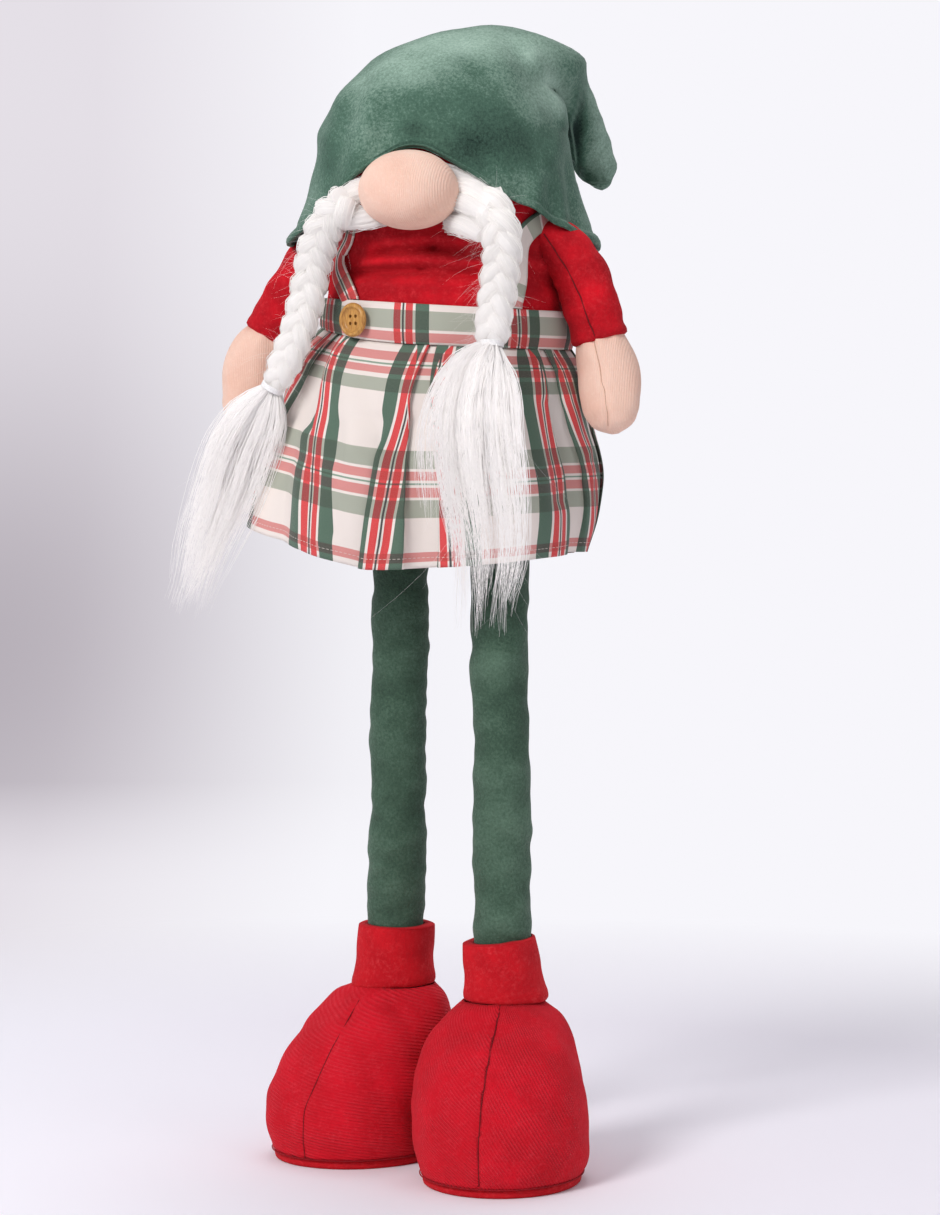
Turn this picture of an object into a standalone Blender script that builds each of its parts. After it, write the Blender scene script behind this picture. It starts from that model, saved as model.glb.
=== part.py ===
"""A long-legged standing plush gnome: folded velvet hat, plaits, plaid skirt and felt boots.

The figure looks along -Y and stands on the floor at z = 0. Metres, +Z up.
"""

import math

import bmesh
import bpy
import numpy as np
from mathutils import Matrix, Vector

# Fit between pieces that touch
GAP = 0.0003

# Where the figure's own centre line lies, so that the whole stands centred on the origin
SHIFT_X = 0.0105
SHIFT_Y = 0.0089

# Heights
SOLE_THICKNESS = 0.0055
SOLE_BEVEL = 0.0008
BOOT_HEIGHT = 0.1025
CUFF_HEIGHT = 0.0365
WAIST = 0.4925
BAND_WIDTH = 0.0235
SKIRT_LENGTH = 0.130
NOSE_ABOVE_WAIST = 0.0880
BRIM_ABOVE_WAIST = 0.0565
CROWN_ABOVE_WAIST = 0.1255

# Body
BODY_HALF_WIDTH = 0.0735
BODY_HALF_DEPTH = 0.058
BODY_BELOW_WAIST = 0.021
BODY_POINTS = 26
HEAD_SEAT_ABOVE_WAIST = 0.1055
HEAD_DOME = 0.025

# Hat
HAT_TURN = math.radians(20.0)
HAT_WALL = 0.003
BRIM_FLARE = 0.0197
BRIM_HALF_WIDTH = BODY_HALF_WIDTH + BRIM_FLARE
HAT_ASIDE = -0.0024
BRIM_HALF_DEPTH = 0.080
CROWN_HALF_WIDTH = 0.0735
CROWN_HALF_DEPTH = 0.0625
BRIM_PEAK_RISE = 0.056
HAT_WAISTING = 0.0035

# Nose and hair
NOSE_HALF_WIDTH = 0.0300
NOSE_HALF_DEPTH = 0.0270
NOSE_HALF_HEIGHT = 0.0228
NOSE_ASIDE = 0.003
NOSE_FORWARD = 0.0705
NOSE_TILT = math.radians(4.0)
PLAIT_RADIUS = 0.0112
PLAIT_NECK = 0.0070
PLAIT_LOBE = 0.0118
PLAIT_RELIEF = 0.20
PLAIT_POINTS = 10
TIE_THICKNESS = 0.0016
TASSEL_POINTS = 13
TUFT_RADIUS = 0.0125

# Arms
SLEEVE_RADIUS = 0.0155
HAND_HALF_WIDTH = 0.0182
HAND_HALF_DEPTH = 0.0150
ARM_POINTS = 14

# Dress
BAND_THICKNESS = 0.0024
CLOTH_THICKNESS = 0.0012
STRAP_WIDTH = 0.0125
STRAP_THICKNESS = 0.0014
PANELS = 8
FIRST_FOLD = math.radians(-36.0)
PLEAT_DEPTH = 0.0085
HEM_LEFT_RISE = 0.024
HEM_RIGHT_RISE = 0.0075
DRESS_FIT = 0.0009

# Button
BUTTON_RADIUS = 0.0100
BUTTON_THICKNESS = 0.0040
BUTTON_RIM = 0.0017
BUTTON_DISH = 0.0012
BUTTON_SIDES = 20
HOLE_RADIUS = 0.0011
HOLE_SIDES = 6
HOLE_SPACING = 0.0042
BUTTON_ANGLE = math.radians(-26.5)
BUTTON_SHARE = 0.60
POST_RADIUS = 0.0021
POST_LENGTH = 0.0016

# Legs
LEG_RADIUS = 0.0170
CORE_RADIUS = 0.0060
CORE_IN_BODY = 0.030
LEG_IN_BOOT = 0.018
ANKLE_RISE = 0.012
HIP_ASIDE = 0.032
HIP_SHARE = 0.30

# Boots
BOOT_WALL = 0.0020
BOOT_HALF_WIDTH = 0.0535
BOOT_TOE_REACH = 0.0860
BOOT_HEEL_REACH = 0.0390
BOOT_POINTS = 20
HEEL_NARROWING = 0.24
CUFF_RADIUS = 0.0235
DISC_RADIUS = 0.024
DISC_THICKNESS = 0.003
BAG_FIT = 0.0012
BAG_SLACK = 0.0038
CUFF_SIDES = 16
LEFT_LEG = (-0.0455, 0.0330)
RIGHT_LEG = (0.0370, -0.0040)
LEFT_TOE_TURN = math.radians(-33.0)
RIGHT_TOE_TURN = math.radians(7.0)
RIGHT_BOOT_LEAN = 0.0060

# Colours
GREEN_VELVET = (0.045, 0.150, 0.085)
PEACH = (0.780, 0.500, 0.360)
WHITE_HAIR = (0.860, 0.860, 0.870)
RED_PLUSH = (0.560, 0.012, 0.016)
RED_FELT = (0.600, 0.012, 0.012)
PLAID = (0.660, 0.560, 0.490)
TURNED_WOOD = (0.560, 0.330, 0.120)
THREAD = (0.160, 0.090, 0.040)
TUBE_PLASTIC = (0.500, 0.500, 0.480)
BAG_CLOTH = (0.420, 0.360, 0.270)


def clear_scene():
    for item in list(bpy.data.objects):
        bpy.data.objects.remove(item, do_unlink=True)


clear_scene()
SCENE = bpy.context.scene
PARTS = bpy.data.collections.new("ChristmasGnome")
CUTTERS = bpy.data.collections.new("Cutters")
SCENE.collection.children.link(PARTS)
SCENE.collection.children.link(CUTTERS)
FIGURE = bpy.data.objects.new("figure", None)
FIGURE.location = (SHIFT_X, SHIFT_Y, 0.0)
PARTS.objects.link(FIGURE)


def make_material(name, colour, roughness):
    material = bpy.data.materials.new(name)
    material.use_nodes = True
    shader = material.node_tree.nodes["Principled BSDF"]
    shader.inputs["Base Color"].default_value = (*colour, 1.0)
    shader.inputs["Roughness"].default_value = roughness
    return material


VELVET = make_material("green_velvet", GREEN_VELVET, 0.8)
PLUSH = make_material("red_plush", RED_PLUSH, 0.9)
FELT = make_material("red_felt", RED_FELT, 0.9)
SKIN = make_material("peach_knit", PEACH, 0.85)
HAIR = make_material("white_hair", WHITE_HAIR, 0.6)
COTTON = make_material("plaid_cotton", PLAID, 0.8)
WOOD = make_material("turned_wood", TURNED_WOOD, 0.45)
THREADS = make_material("button_thread", THREAD, 0.8)
TUBE = make_material("tube_plastic", TUBE_PLASTIC, 0.5)
BAG = make_material("ballast_cloth", BAG_CLOTH, 0.9)


def through(stations, place):
    """The value at a place on a smooth curve through (place, value) stations."""
    places = [station[0] for station in stations]
    values = [np.asarray(station[1], float) for station in stations]
    if place <= places[0]:
        return values[0]
    if place >= places[-1]:
        return values[-1]
    after = next(index for index, other in enumerate(places) if other > place)
    before = after - 1

    def slope(index):
        low = max(index - 1, 0)
        high = min(index + 1, len(places) - 1)
        return (values[high] - values[low]) / (places[high] - places[low])

    span = places[after] - places[before]
    t = (place - places[before]) / span
    start = values[before] * (2 * t**3 - 3 * t**2 + 1) + slope(before) * span * (t**3 - 2 * t**2 + t)
    return start + values[after] * (3 * t**2 - 2 * t**3) + slope(after) * span * (t**3 - t**2)


def adopt(name, data, material, collection=PARTS):
    """A new object of the figure, or a cutter, from a mesh or a curve."""
    thing = bpy.data.objects.new(name, data)
    collection.objects.link(thing)
    thing.parent = FIGURE
    if collection is CUTTERS:
        thing.hide_render = True
        thing.display_type = "WIRE"
    elif material:
        data.materials.append(material)
    return thing


def smooth(mesh, crease=50.0):
    mesh.shade_smooth()
    mesh.set_sharp_from_angle(angle=math.radians(crease))


def lofted(name, rings):
    """A mesh through rings of equally many points, its two ends filled."""
    shell = bmesh.new()
    rows = [[shell.verts.new(point) for point in ring] for ring in rings]
    count = len(rows[0])
    for row, following in zip(rows[:-1], rows[1:]):
        for place in range(count):
            beside = (place + 1) % count
            shell.faces.new((row[place], row[beside], following[beside], following[place]))
    for row in (rows[0], rows[-1]):
        tip = shell.verts.new(sum((vert.co for vert in row), Vector()) / count)
        for place in range(count):
            shell.faces.new((row[place], row[(place + 1) % count], tip))
    bmesh.ops.recalc_face_normals(shell, faces=shell.faces)
    mesh = bpy.data.meshes.new(name)
    shell.to_mesh(mesh)
    shell.free()
    smooth(mesh)
    return mesh


def grid_mesh(name, rows, round_closed):
    """An open sheet through rows of points, closed round where asked."""
    shell = bmesh.new()
    lines = [[shell.verts.new(point) for point in row] for row in rows]
    count = len(lines[0])
    steps = count if round_closed else count - 1
    for line, following in zip(lines[:-1], lines[1:]):
        for place in range(steps):
            beside = (place + 1) % count
            shell.faces.new((line[place], line[beside], following[beside], following[place]))
    mesh = bpy.data.meshes.new(name)
    shell.to_mesh(mesh)
    shell.free()
    smooth(mesh)
    return mesh


def thicken(thing, thickness, outward):
    """Cloth of even thickness laid on one side of a sheet."""
    modifier = thing.modifiers.new("Cloth", "SOLIDIFY")
    modifier.thickness = thickness
    modifier.offset = 1.0 if outward else -1.0
    modifier.use_even_offset = True


def cut(thing, cutter):
    modifier = thing.modifiers.new("Seat " + cutter.name, "BOOLEAN")
    modifier.operation = "DIFFERENCE"
    modifier.solver = "EXACT"
    modifier.object = cutter


def angles(count):
    return [2 * math.pi * place / count for place in range(count)]


def plan_point(angle, half_width, half_depth, height, centre=(0.0, 0.0)):
    """A point of a level ellipse, its angle counted from the front towards +X."""
    x = centre[0] + half_width * math.sin(angle)
    y = centre[1] - half_depth * math.cos(angle)
    return Vector((x, y, height))


def sweep_rings(path, sizes, count, steps, relief=None):
    """Oval rings square to a smooth path: sizes are (half width, half depth) along it."""
    stations = [(place / (len(path) - 1), point) for place, point in enumerate(path)]
    front = Vector((0.0, -1.0, 0.0))
    rings = []
    for step in range(steps + 1):
        t = step / steps
        middle = Vector(through(stations, t))
        ahead = Vector(through(stations, min(t + 0.01, 1.0)))
        behind = Vector(through(stations, max(t - 0.01, 0.0)))
        along = (ahead - behind).normalized()
        depth = (front - along * front.dot(along)).normalized()
        side = along.cross(depth).normalized()
        half_width, half_depth = through(sizes, t)
        ring = []
        for angle in angles(count):
            swell = relief(angle, t) if relief else 1.0
            across = side * (math.sin(angle) * half_width * swell)
            ring.append(middle + across + depth * (math.cos(angle) * half_depth * swell))
        rings.append(ring)
    return rings


# Hat and head

HAT_RIGHT = Vector((math.cos(HAT_TURN), math.sin(HAT_TURN), 0.0))
HAT_FRONT = Vector((math.sin(HAT_TURN), -math.cos(HAT_TURN), 0.0))
CROWN = WAIST + CROWN_ABOVE_WAIST
BRIM = WAIST + BRIM_ABOVE_WAIST
HEAD_SEAT = WAIST + HEAD_SEAT_ABOVE_WAIST

# Share of the peak's rise along the brim, by degrees round from over the nose
BRIM_RISE = (
    (-180, 0.00),
    (-110, 0.02),
    (-75, 0.10),
    (-50, 0.34),
    (-32, 0.58),
    (-17, 0.95),
    (-5, 1.00),
    (10, 0.80),
    (22, 0.61),
    (40, 0.36),
    (62, 0.12),
    (90, 0.00),
    (180, 0.00),
)


def brim_height(angle):
    degrees = (math.degrees(angle) + 180.0) % 360.0 - 180.0
    return BRIM + BRIM_PEAK_RISE * float(through(BRIM_RISE, degrees))


def hat_sizes(height):
    """Half width and half depth of the hat's outside between brim and crown."""
    share = (height - BRIM) / (CROWN - BRIM)
    bow = HAT_WAISTING * math.sin(math.pi * min(max(share, 0.0), 1.0))
    half_width = BRIM_HALF_WIDTH + (CROWN_HALF_WIDTH - BRIM_HALF_WIDTH) * share - bow
    half_depth = BRIM_HALF_DEPTH + (CROWN_HALF_DEPTH - BRIM_HALF_DEPTH) * share - bow
    return half_width, half_depth


def hat_point(angle, height, inset):
    half_width, half_depth = hat_sizes(height)
    flat = HAT_RIGHT * ((half_width - inset) * math.sin(angle) + HAT_ASIDE)
    return flat + HAT_FRONT * ((half_depth - inset) * math.cos(angle)) + Vector((0, 0, height))


# The hat above the crown folds over to the right and back: each station gives, from the crown,
# the left and the right end of a section (across, up), its half depth and how far back it lies.
FOLD = (
    ((-0.0745, 0.0000), (0.0725, 0.0000), 0.0625, 0.000),
    ((-0.0690, 0.0150), (0.0722, 0.0065), 0.0600, 0.001),
    ((-0.0590, 0.0290), (0.0715, 0.0125), 0.0570, 0.003),
    ((-0.0440, 0.0430), (0.0700, 0.0170), 0.0530, 0.005),
    ((-0.0235, 0.0540), (0.0680, 0.0205), 0.0490, 0.008),
    ((0.0030, 0.0602), (0.0660, 0.0225), 0.0440, 0.012),
    ((0.0310, 0.0622), (0.0650, 0.0225), 0.0390, 0.017),
    ((0.0590, 0.0585), (0.0645, 0.0210), 0.0340, 0.023),
    ((0.0825, 0.0470), (0.0640, 0.0180), 0.0300, 0.030),
    ((0.0855, 0.0330), (0.0635, 0.0130), 0.0270, 0.038),
    ((0.0925, 0.0170), (0.0640, 0.0060), 0.0230, 0.045),
    ((0.0980, 0.0010), (0.0670, -0.0020), 0.0190, 0.050),
    ((0.1015, -0.0140), (0.0730, -0.0110), 0.0150, 0.053),
    ((0.1000, -0.0240), (0.0800, -0.0200), 0.0100, 0.054),
)


def fold_rings(grow):
    rings = []
    for left, right, half_depth, back in FOLD[1:]:
        left_end = HAT_RIGHT * left[0] + Vector((0, 0, CROWN + left[1])) - HAT_FRONT * back
        right_end = HAT_RIGHT * right[0] + Vector((0, 0, CROWN + right[1])) - HAT_FRONT * back
        middle = (left_end + right_end) / 2
        reach = (right_end - left_end) / 2
        reach = reach * (1 + grow / reach.length)
        ring = []
        for angle in angles(BODY_POINTS):
            across = reach * math.sin(angle)
            ring.append(middle + across + HAT_FRONT * ((half_depth + grow) * math.cos(angle)))
        rings.append(ring)
    return rings


HAT_LEVELS = (0.0, 0.15, 0.40, 0.70, 1.0)


def hat_side_rings(inset, lower):
    """Rings from the brim up to the crown, the lowest along the brim's own line."""
    rings = []
    for share in HAT_LEVELS:
        ring = []
        for angle in angles(BODY_POINTS):
            edge = brim_height(angle) - lower
            ring.append(hat_point(angle, edge + (CROWN - edge) * share, inset))
        rings.append(ring)
    return rings


DOME_SHARES = ((0.45, 0.90), (0.75, 0.68), (0.93, 0.38))


def dome_rings(inset):
    """Rings of the head's round top, which the hat's hollow follows."""
    rings = []
    for rise, size in DOME_SHARES:
        ring = []
        for angle in angles(BODY_POINTS):
            edge = hat_point(angle, CROWN, inset)
            top = Vector((0, 0, CROWN + (HEAD_DOME - inset) * rise))
            ring.append(Vector((edge.x * size, edge.y * size, 0)) + top)
        rings.append(ring)
    return rings


def hat_mesh(name, grow=0.0):
    """The hat from the top of its hollow down to the brim and up the outside to the tip."""
    inner = hat_side_rings(HAT_WALL + grow, grow) + dome_rings(HAT_WALL + grow)
    outer = hat_side_rings(-grow, grow) + fold_rings(grow)
    return lofted(name, inner[::-1] + outer)


# Body: height above the waist, and shares of the half width and half depth
BODY_SHAPE = (
    (-0.0210, (0.50, 0.48)),
    (-0.0170, (0.80, 0.78)),
    (-0.0100, (0.955, 0.95)),
    (0.0000, (1.00, 1.00)),
    (0.0240, (1.00, 1.00)),
    (0.0450, (0.965, 0.96)),
    (0.0680, (0.93, 0.93)),
    (0.0860, (0.93, 0.94)),
)


def body_point(angle, height, clear=0.0):
    """A point of the torso's outside, or clear of it, at a height below the hat's seat."""
    wide, deep = through(BODY_SHAPE, height - WAIST)
    half_width = BODY_HALF_WIDTH * wide + clear
    half_depth = BODY_HALF_DEPTH * deep + clear
    return plan_point(angle, half_width, half_depth, height)


TORSO_LEVELS = (-0.0210, -0.0170, -0.0100, 0.0, 0.0120, 0.0240, 0.0380, 0.0540, 0.0700, 0.0840)


def body_mesh(name, grow=0.0):
    rings = []
    for level in TORSO_LEVELS:
        height = WAIST + level - (grow if level == TORSO_LEVELS[0] else 0.0)
        rings.append([body_point(angle + HAT_TURN, height, grow) for angle in angles(BODY_POINTS)])
    inset = HAT_WALL + GAP - grow
    for height in (HEAD_SEAT, (HEAD_SEAT + CROWN) / 2, CROWN):
        rings.append([hat_point(angle, height, inset) for angle in angles(BODY_POINTS)])
    return lofted(name, rings + dome_rings(inset))


BODY = adopt("body", body_mesh("body"), PLUSH)
BODY_CLEAR = adopt("body_clear", body_mesh("body_clear", GAP), None, CUTTERS)
HAT = adopt("hat", hat_mesh("hat"), VELVET)
HAT_CLEAR = adopt("hat_clear", hat_mesh("hat_clear", 2 * GAP), None, CUTTERS)


# Nose and hair


def ball_mesh(name, half_sizes, segments=16, rings=10):
    shell = bmesh.new()
    bmesh.ops.create_uvsphere(shell, u_segments=segments, v_segments=rings, radius=1.0)
    bmesh.ops.scale(shell, vec=half_sizes, verts=shell.verts)
    mesh = bpy.data.meshes.new(name)
    shell.to_mesh(mesh)
    shell.free()
    smooth(mesh)
    return mesh


NOSE_SIZES = Vector((NOSE_HALF_WIDTH, NOSE_HALF_DEPTH, NOSE_HALF_HEIGHT))
NOSE = adopt("nose", ball_mesh("nose", NOSE_SIZES), SKIN)
NOSE.location = (NOSE_ASIDE, -NOSE_FORWARD, WAIST + NOSE_ABOVE_WAIST)
NOSE.rotation_euler = (0.0, NOSE_TILT, 0.0)
cut(NOSE, BODY_CLEAR)
cut(NOSE, HAT_CLEAR)
NOSE_CLEAR_MESH = ball_mesh("nose_clear", NOSE_SIZES + Vector((GAP, GAP, GAP)))
NOSE_CLEAR = adopt("nose_clear", NOSE_CLEAR_MESH, None, CUTTERS)
NOSE_CLEAR.location = NOSE.location
NOSE_CLEAR.rotation_euler = NOSE.rotation_euler


def plait_relief(lobes):
    """Two columns of slanting lobes, half a lobe apart, as a three-strand plait shows."""

    def relief(angle, t):
        side = math.sin(angle)
        sides = 0.0
        for turn, weight in ((0.0, 0.5 - 0.5 * side), (0.5, 0.5 + 0.5 * side)):
            phase = t * lobes + turn + 0.35 * abs(side)
            sides += weight * (abs(math.sin(math.pi * phase)) ** 0.7)
        return 1.0 - PLAIT_RELIEF * (1.0 - sides)

    return relief


def path_length(path):
    return sum((Vector(b) - Vector(a)).length for a, b in zip(path[:-1], path[1:]))


def add_plait(side, path, end_share):
    lobes = round(path_length(path) / PLAIT_LOBE)
    sizes = (
        (0.0, (PLAIT_RADIUS * 0.72, PLAIT_RADIUS * 0.62)),
        (0.06, (PLAIT_RADIUS, PLAIT_RADIUS * 0.92)),
        (0.86, (PLAIT_RADIUS * end_share, PLAIT_RADIUS * end_share * 0.92)),
        (0.94, (PLAIT_NECK, PLAIT_NECK)),
        (1.0, (PLAIT_NECK, PLAIT_NECK)),
    )
    rings = sweep_rings(path, sizes, PLAIT_POINTS, lobes * 4, plait_relief(lobes))
    plait = adopt("plait_" + side, lofted("plait_" + side, rings), HAIR)
    tied = PLAIT_NECK + 2 * TIE_THICKNESS + 2 * GAP
    clear_sizes = [(place, tuple(size + 2 * GAP for size in pair)) for place, pair in sizes[:-2]]
    clear_sizes += [(0.94, (tied, tied)), (1.0, (tied, tied))]
    end = Vector(path[-1])
    end = end + (end - Vector(path[-2])).normalized() * GAP
    start = Vector(path[0])
    start = start + (start - Vector(path[1])).normalized() * GAP
    clear_path = (tuple(start), *path[1:-1], tuple(end))
    clear_rings = sweep_rings(clear_path, clear_sizes, PLAIT_POINTS, lobes * 4)
    clear = adopt("plait_clear_" + side, lofted("plait_clear_" + side, clear_rings), None, CUTTERS)
    for cutter in (NOSE_CLEAR, BODY_CLEAR, HAT_CLEAR):
        cut(plait, cutter)
    return plait, clear


def add_tie(side, path):
    """A ring of binding thread round the end of a plait."""
    end = Vector(path[-1])
    along = (end - Vector(path[-2])).normalized()
    radius = PLAIT_NECK + GAP + TIE_THICKNESS
    bpy.ops.mesh.primitive_torus_add(
        major_segments=12, minor_segments=5, major_radius=radius, minor_radius=TIE_THICKNESS
    )
    torus = bpy.context.object
    mesh = torus.data
    bpy.data.objects.remove(torus)
    mesh.name = "tie_" + side
    smooth(mesh)
    tie = adopt("tie_" + side, mesh, HAIR)
    tie.location = end - along * (TIE_THICKNESS + GAP)
    tie.rotation_euler = along.to_track_quat("Z", "Y").to_euler()


def add_tassel(side, path, sizes, strands, plait_clear):
    def relief(angle, t):
        return 1.0 + 0.10 * min(t * 4, 1.0) * math.sin(strands * angle + 5.0 * t)

    rings = sweep_rings(path, sizes, TASSEL_POINTS, 7, relief)
    tassel = adopt("tassel_" + side, lofted("tassel_" + side, rings), HAIR)
    cut(tassel, plait_clear)


LEFT_PLAIT = (
    (-0.0330, -0.0760, WAIST + 0.0820),
    (-0.0470, -0.0710, WAIST + 0.0710),
    (-0.0560, -0.0660, WAIST + 0.0560),
    (-0.0610, -0.0630, WAIST + 0.0400),
    (-0.0655, -0.0630, WAIST + 0.0210),
    (-0.0710, -0.0640, WAIST + 0.0030),
    (-0.0785, -0.0640, WAIST - 0.0130),
    (-0.0865, -0.0630, WAIST - 0.0270),
)
RIGHT_PLAIT = (
    (0.0480, -0.0710, WAIST + 0.0850),
    (0.0560, -0.0690, WAIST + 0.0700),
    (0.0590, -0.0680, WAIST + 0.0550),
    (0.0575, -0.0680, WAIST + 0.0400),
    (0.0555, -0.0690, WAIST + 0.0240),
    (0.0540, -0.0710, WAIST + 0.0090),
    (0.0540, -0.0725, WAIST - 0.0020),
)
LEFT_TASSEL = (
    LEFT_PLAIT[-1],
    (-0.0960, -0.0600, WAIST - 0.0420),
    (-0.1080, -0.0580, WAIST - 0.0620),
    (-0.1180, -0.0580, WAIST - 0.0880),
    (-0.1290, -0.0600, WAIST - 0.1160),
    (-0.1380, -0.0620, WAIST - 0.1420),
)
LEFT_TASSEL_SIZES = (
    (0.0, (0.0062, 0.0058)),
    (0.12, (0.0120, 0.0090)),
    (0.35, (0.0190, 0.0115)),
    (0.60, (0.0190, 0.0110)),
    (0.85, (0.0130, 0.0080)),
    (1.0, (0.0040, 0.0030)),
)
RIGHT_TASSEL = (
    RIGHT_PLAIT[-1],
    (0.0510, -0.0850, WAIST - 0.0200),
    (0.0520, -0.0980, WAIST - 0.0500),
    (0.0570, -0.1010, WAIST - 0.0850),
    (0.0610, -0.1010, WAIST - 0.1150),
    (0.0600, -0.1000, WAIST - 0.1450),
)
RIGHT_TASSEL_SIZES = (
    (0.0, (0.0066, 0.0062)),
    (0.12, (0.0170, 0.0095)),
    (0.30, (0.0280, 0.0110)),
    (0.60, (0.0310, 0.0110)),
    (0.85, (0.0220, 0.0090)),
    (1.0, (0.0080, 0.0040)),
)

PLAIT_LEFT, PLAIT_CLEAR_LEFT = add_plait("left", LEFT_PLAIT, 0.82)
PLAIT_RIGHT, PLAIT_CLEAR_RIGHT = add_plait("right", RIGHT_PLAIT, 0.85)
add_tie("left", LEFT_PLAIT)
add_tie("right", RIGHT_PLAIT)
add_tassel("left", LEFT_TASSEL, LEFT_TASSEL_SIZES, 5, PLAIT_CLEAR_LEFT)
add_tassel("right", RIGHT_TASSEL, RIGHT_TASSEL_SIZES, 6, PLAIT_CLEAR_RIGHT)


def add_tuft(side, place, plait_clear):
    """Loose hair between the nose and the top of a plait."""
    sizes = (TUFT_RADIUS, TUFT_RADIUS * 0.75, TUFT_RADIUS)
    tuft = adopt("hair_tuft_" + side, ball_mesh("hair_tuft_" + side, sizes, 12, 7), HAIR)
    tuft.location = place
    for cutter in (BODY_CLEAR, NOSE_CLEAR, HAT_CLEAR, plait_clear):
        cut(tuft, cutter)


TUFT_HEIGHT = WAIST + NOSE_ABOVE_WAIST - 0.0060
add_tuft("left", (-0.0270, -0.0660, TUFT_HEIGHT), PLAIT_CLEAR_LEFT)
add_tuft("right", (0.0340, -0.0640, TUFT_HEIGHT), PLAIT_CLEAR_RIGHT)


# Arms


def add_arm(side, path, hand_end):
    """A sleeve from the shoulder down to the wrist, and the mitten hand sewn to its end."""
    sleeve_sizes = (
        (0.0, (SLEEVE_RADIUS * 0.80, SLEEVE_RADIUS * 0.80)),
        (0.25, (SLEEVE_RADIUS, SLEEVE_RADIUS * 0.95)),
        (1.0, (SLEEVE_RADIUS * 1.03, SLEEVE_RADIUS * 0.90)),
    )
    rings = sweep_rings(path, sleeve_sizes, ARM_POINTS, 7)
    sleeve = adopt("sleeve_" + side, lofted("sleeve_" + side, rings), PLUSH)
    cut(sleeve, BODY_CLEAR)
    cut(sleeve, HAT_CLEAR)
    wrist = Vector(path[-1])
    along = (wrist - Vector(path[-2])).normalized()
    start = wrist + along * GAP
    finish = Vector(hand_end)
    drop = (finish - start).length
    # The first third goes straight on from the sleeve, so that the seam closes evenly.
    bend = start + along * (drop / 3)
    hand_path = (start, bend, start.lerp(finish, 0.68), finish)
    hand_sizes = (
        (0.0, (SLEEVE_RADIUS * 1.02, SLEEVE_RADIUS * 0.89)),
        (0.30, (HAND_HALF_WIDTH * 0.98, HAND_HALF_DEPTH)),
        (0.62, (HAND_HALF_WIDTH, HAND_HALF_DEPTH * 0.98)),
        (0.82, (HAND_HALF_WIDTH * 0.83, HAND_HALF_DEPTH * 0.83)),
        (0.94, (HAND_HALF_WIDTH * 0.50, HAND_HALF_DEPTH * 0.52)),
        (1.0, (HAND_HALF_WIDTH * 0.16, HAND_HALF_DEPTH * 0.18)),
    )
    rings = sweep_rings(hand_path, hand_sizes, ARM_POINTS, 7)
    adopt("hand_" + side, lofted("hand_" + side, rings), SKIN)
    return sleeve


def beside_body(side, out, forward, rise):
    """A point by how far it is out from the body's side, forward and above the waist."""
    return (side * (BODY_HALF_WIDTH + out), -forward, WAIST + rise)


RIGHT_ARM = (
    beside_body(1, -0.0195, 0.0060, 0.0620),
    beside_body(1, -0.0025, 0.0060, 0.0580),
    beside_body(1, 0.0115, 0.0070, 0.0420),
    beside_body(1, 0.0200, 0.0080, 0.0200),
    beside_body(1, 0.0250, 0.0080, 0.0020),
)
RIGHT_HAND_END = beside_body(1, 0.0360, 0.0140, -0.0515)
LEFT_ARM = (
    beside_body(-1, -0.0195, 0.0060, 0.0630),
    beside_body(-1, -0.0015, 0.0060, 0.0600),
    beside_body(-1, 0.0135, 0.0080, 0.0420),
    beside_body(-1, 0.0255, 0.0110, 0.0220),
    beside_body(-1, 0.0355, 0.0140, 0.0040),
)
LEFT_HAND_END = beside_body(-1, 0.0495, 0.0220, -0.0510)
SLEEVE_RIGHT = add_arm("right", RIGHT_ARM, RIGHT_HAND_END)
SLEEVE_LEFT = add_arm("left", LEFT_ARM, LEFT_HAND_END)


# Dress


BAND_POINTS = 30
BAND_TOP_TILT = -0.060
BAND_FOOT_TILT = -0.045
BAND_FOOT_LEFT = 0.0085


def band_top(angle):
    return WAIST + BAND_WIDTH + BAND_TOP_TILT * BODY_HALF_WIDTH * math.sin(angle)


def band_foot(angle):
    side = math.sin(angle)
    lift = BAND_FOOT_LEFT * side * side if side < 0 else 0.0
    return WAIST + BAND_FOOT_TILT * BODY_HALF_WIDTH * side + lift


def add_waistband():
    rows = []
    for share in (0.0, 1.0):
        row = []
        for angle in angles(BAND_POINTS):
            height = band_foot(angle) + (band_top(angle) - band_foot(angle)) * share
            row.append(body_point(angle, height, DRESS_FIT))
        rows.append(row)
    band = adopt("waistband", grid_mesh("waistband", rows, True), COTTON)
    thicken(band, BAND_THICKNESS, True)


add_waistband()

# Skirt: share of the way down, then how far its plan stands out from the body's half width and
# half depth, and its sideways place
SKIRT_PLAN = (
    (0.00, (0.0022, 0.0022, 0.0000)),
    (0.04, (0.0065, 0.0060, -0.0010)),
    (0.12, (0.0120, 0.0120, -0.0020)),
    (0.35, (0.0190, 0.0190, -0.0030)),
    (0.55, (0.0230, 0.0230, -0.0060)),
    (0.80, (0.0260, 0.0255, -0.0125)),
    (1.00, (0.0250, 0.0260, -0.0190)),
)
SKIRT_ROWS = (0.0, 0.04, 0.14, 0.32, 0.52, 0.75, 1.0)
PANEL_PLACES = (-1.0, -0.86, -0.35, 0.35, 0.86)
FOLD_DRIFT = math.radians(9.0)
HAND_DENT = 0.0060


def skirt_foot(angle):
    """Height of the hem: the left corner hangs higher."""
    side = math.sin(angle)
    lift = HEM_LEFT_RISE * max(-side, 0.0) + HEM_RIGHT_RISE * max(side, 0.0) ** 2
    return WAIST - SKIRT_LENGTH + lift


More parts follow.
